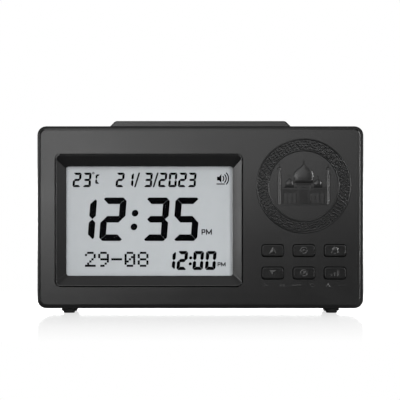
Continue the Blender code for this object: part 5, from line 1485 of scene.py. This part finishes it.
class CLOCK_OT_set_stage(bpy.types.Operator):
    """Sets the floor, the lights, the pale surroundings and the camera"""

    bl_idname = "clock.set_stage"
    bl_label = "Stage"

    def execute(self, context):
        stage = context.scene.clock_stage
        self.floor()
        self.surroundings(context.scene)
        behind = stage.back_power * BACK_STRIP_SHARE
        lamps = (
            ("low_key_light", (-0.35, -1.10, 0.06), (-0.04, FACE_Y, 0.06), (0.60, 0.10), stage.key_power),
            ("near_key_light", (-0.25, -0.80, 0.16), (-0.04, FACE_Y, 0.06), (0.30, 0.10), stage.near_power),
            ("fill_light", (0.0, -0.80, 0.20), (-0.04, FACE_Y, 0.06), (0.30, 0.30), stage.fill_power),
            ("top_light", (-0.10, -0.78, 0.70), (0, FACE_Y, 0.05), (0.40, 0.40), stage.top_power),
            ("left_strip", (-0.60, -0.13, 0.08), (0, FACE_Y, 0.05), (0.06, 0.30), stage.left_power),
            ("right_strip", (0.40, -0.75, 0.09), (0.08, FACE_Y, 0.05), (0.035, 0.40), stage.right_power),
            ("right_edge_light", (0.60, -0.22, 0.08), (0, FACE_Y, 0.05), (0.10, 0.30), stage.edge_power),
            ("back_light", (0.45, 0.90, 0.60), (0, 0, 0.05), (0.70, 0.70), stage.back_power, False),
            ("back_strip", (0, 1.00, 0.045), (0, 0, 0.045), (1.20, 0.08), behind),
        )
        for lamp in lamps:
            area_light(*lamp)
        deselect()
        place = (CAMERA_X, FACE_Y - stage.camera_distance, stage.camera_height)
        bpy.ops.object.camera_add(location=place, rotation=(math.pi / 2, 0, 0))
        camera = bpy.context.view_layer.objects.active
        camera.name = "photo_camera"
        camera.data.sensor_width = SENSOR_WIDTH
        camera.data.lens = SENSOR_WIDTH * stage.camera_distance / stage.frame_width
        camera.data.clip_start = 0.01
        context.scene.camera = camera
        context.scene.view_settings.view_transform = "Standard"
        return {"FINISHED"}

    def floor(self):
        """Pale and a little glossy near the clock, and fading to plain white away from it."""
        deselect()
        bpy.ops.mesh.primitive_plane_add(size=FLOOR_SIZE, location=(0, 0, 0))
        floor = bpy.context.view_layer.objects.active
        floor.name = "studio_floor"
        material, tree, shader = start_material("Pale floor")
        camera_ray = seen_directly(tree)
        away = place_in(tree)
        depth = along(tree, away, "Y")
        for operation, other in (
            ("ABSOLUTE", None),
            ("SUBTRACT", (BODY_HIGH.x, -BODY_LOW.y, 0)),
            ("MAXIMUM", (0, 0, 0)),
            ("LENGTH", None),
        ):
            step = tree.nodes.new("ShaderNodeVectorMath")
            step.operation = operation
            tree.links.new(away, step.inputs[0])
            if other:
                step.inputs[1].default_value = other
            away = step.outputs["Value" if operation == "LENGTH" else "Vector"]
        near = ramp(tree, away, 0.45, 0.02, 0.02, 0.15)
        behind = ramp(tree, depth, 0.0, 0.9, 0.03, 0.30)
        pale = add(tree, "Mix", "Result", A=maths(tree, "MAXIMUM", near, behind), B=1.0, Factor=camera_ray)
        fill(tree, shader, Base_Color=pale, Roughness=ramp(tree, camera_ray, 1.0, 0.06))
        glow = add(tree, "Emission", "Emission", Color=(1, 1, 1))
        whiteness = maths(tree, "MULTIPLY", camera_ray, ramp(tree, away, 0.70, 1.0, 0.01, 0.24))
        surface = shown_as(tree, whiteness, shader.outputs["BSDF"], glow)
        fill(tree, tree.nodes["Material Output"], Surface=surface)
        floor.data.materials.append(material)

    def surroundings(self, scene):
        """White where it is seen, and a soft light from above, the sides and behind, dark in front."""
        world = bpy.data.worlds.new("Pale studio")
        scene.world = world
        world.use_nodes = True
        tree = world.node_tree
        tree.nodes.clear()
        direction = add(tree, "TexCoord", "Generated")
        strength = None
        for ramps in (
            (("Y", 0.0, 1.23, -0.90, -0.30), ("Y", 1.0, 0.0, 0.0, 0.20)),
            (("Y", 0.0, 0.60, 0.0, 0.30), ("Z", 1.0, 0.0, 0.10, 0.30)),
            (("Z", 0.0, 0.14, 0.30, 0.90),),
        ):
            part = None
            for axis, *limits in ramps:
                share = ramp(tree, along(tree, direction, axis), *limits)
                part = share if part is None else maths(tree, "MULTIPLY", part, share)
            strength = part if strength is None else maths(tree, "ADD", strength, part)
        lit = add(tree, "Background", "Background", Strength=strength)
        seen = add(tree, "Background", "Background", Color=(1, 1, 1))
        surface = shown_as(tree, seen_directly(tree), lit, seen)
        fill(tree, tree.nodes.new("ShaderNodeOutputWorld"), Surface=surface)


OPERATORS = (
    CLOCK_OT_finish_case,
    CLOCK_OT_finish_bezel,
    CLOCK_OT_finish_relief_ring,
    CLOCK_OT_finish_relief_picture,
    CLOCK_OT_finish_keys,
    CLOCK_OT_finish_marks,
    CLOCK_OT_finish_back_marks,
    CLOCK_OT_finish_bar,
    CLOCK_OT_finish_door,
    CLOCK_OT_finish_feet,
    CLOCK_OT_finish_display,
    CLOCK_OT_finish_springs,
    CLOCK_OT_finish_inside,
    CLOCK_OT_set_stage,
)


class CLOCK_PT_finishing(bpy.types.Panel):
    """Lists the steps of dressing the clock"""

    bl_idname = "CLOCK_PT_finishing"
    bl_label = "Prayer Clock"
    bl_space_type = "VIEW_3D"
    bl_region_type = "UI"
    bl_category = "Clock"

    def draw(self, context):
        column = self.layout.column()
        for settings in ("clock_case", "clock_relief", "clock_display", "clock_stage"):
            group = getattr(context.scene, settings)
            for name in group.bl_rna.properties.keys():
                if name not in ("rna_type", "name"):
                    column.prop(group, name)
        for operator in OPERATORS:
            column.operator(operator.bl_idname)


SETTINGS = {
    "clock_case": ClockCaseSettings,
    "clock_relief": ClockReliefSettings,
    "clock_display": ClockDisplaySettings,
    "clock_stage": ClockStageSettings,
}


def register():
    for name, group in SETTINGS.items():
        bpy.utils.register_class(group)
        setattr(bpy.types.Scene, name, PointerProperty(type=group))
    for each in (*OPERATORS, CLOCK_PT_finishing):
        bpy.utils.register_class(each)


def unregister():
    for each in reversed((*OPERATORS, CLOCK_PT_finishing)):
        bpy.utils.unregister_class(each)
    for name, group in SETTINGS.items():
        delattr(bpy.types.Scene, name)
        bpy.utils.unregister_class(group)


def main():
    register()
    for operator in OPERATORS:
        group, name = operator.bl_idname.split(".")
        getattr(getattr(bpy.ops, group), name)()


if __name__ == "__main__":
    main()
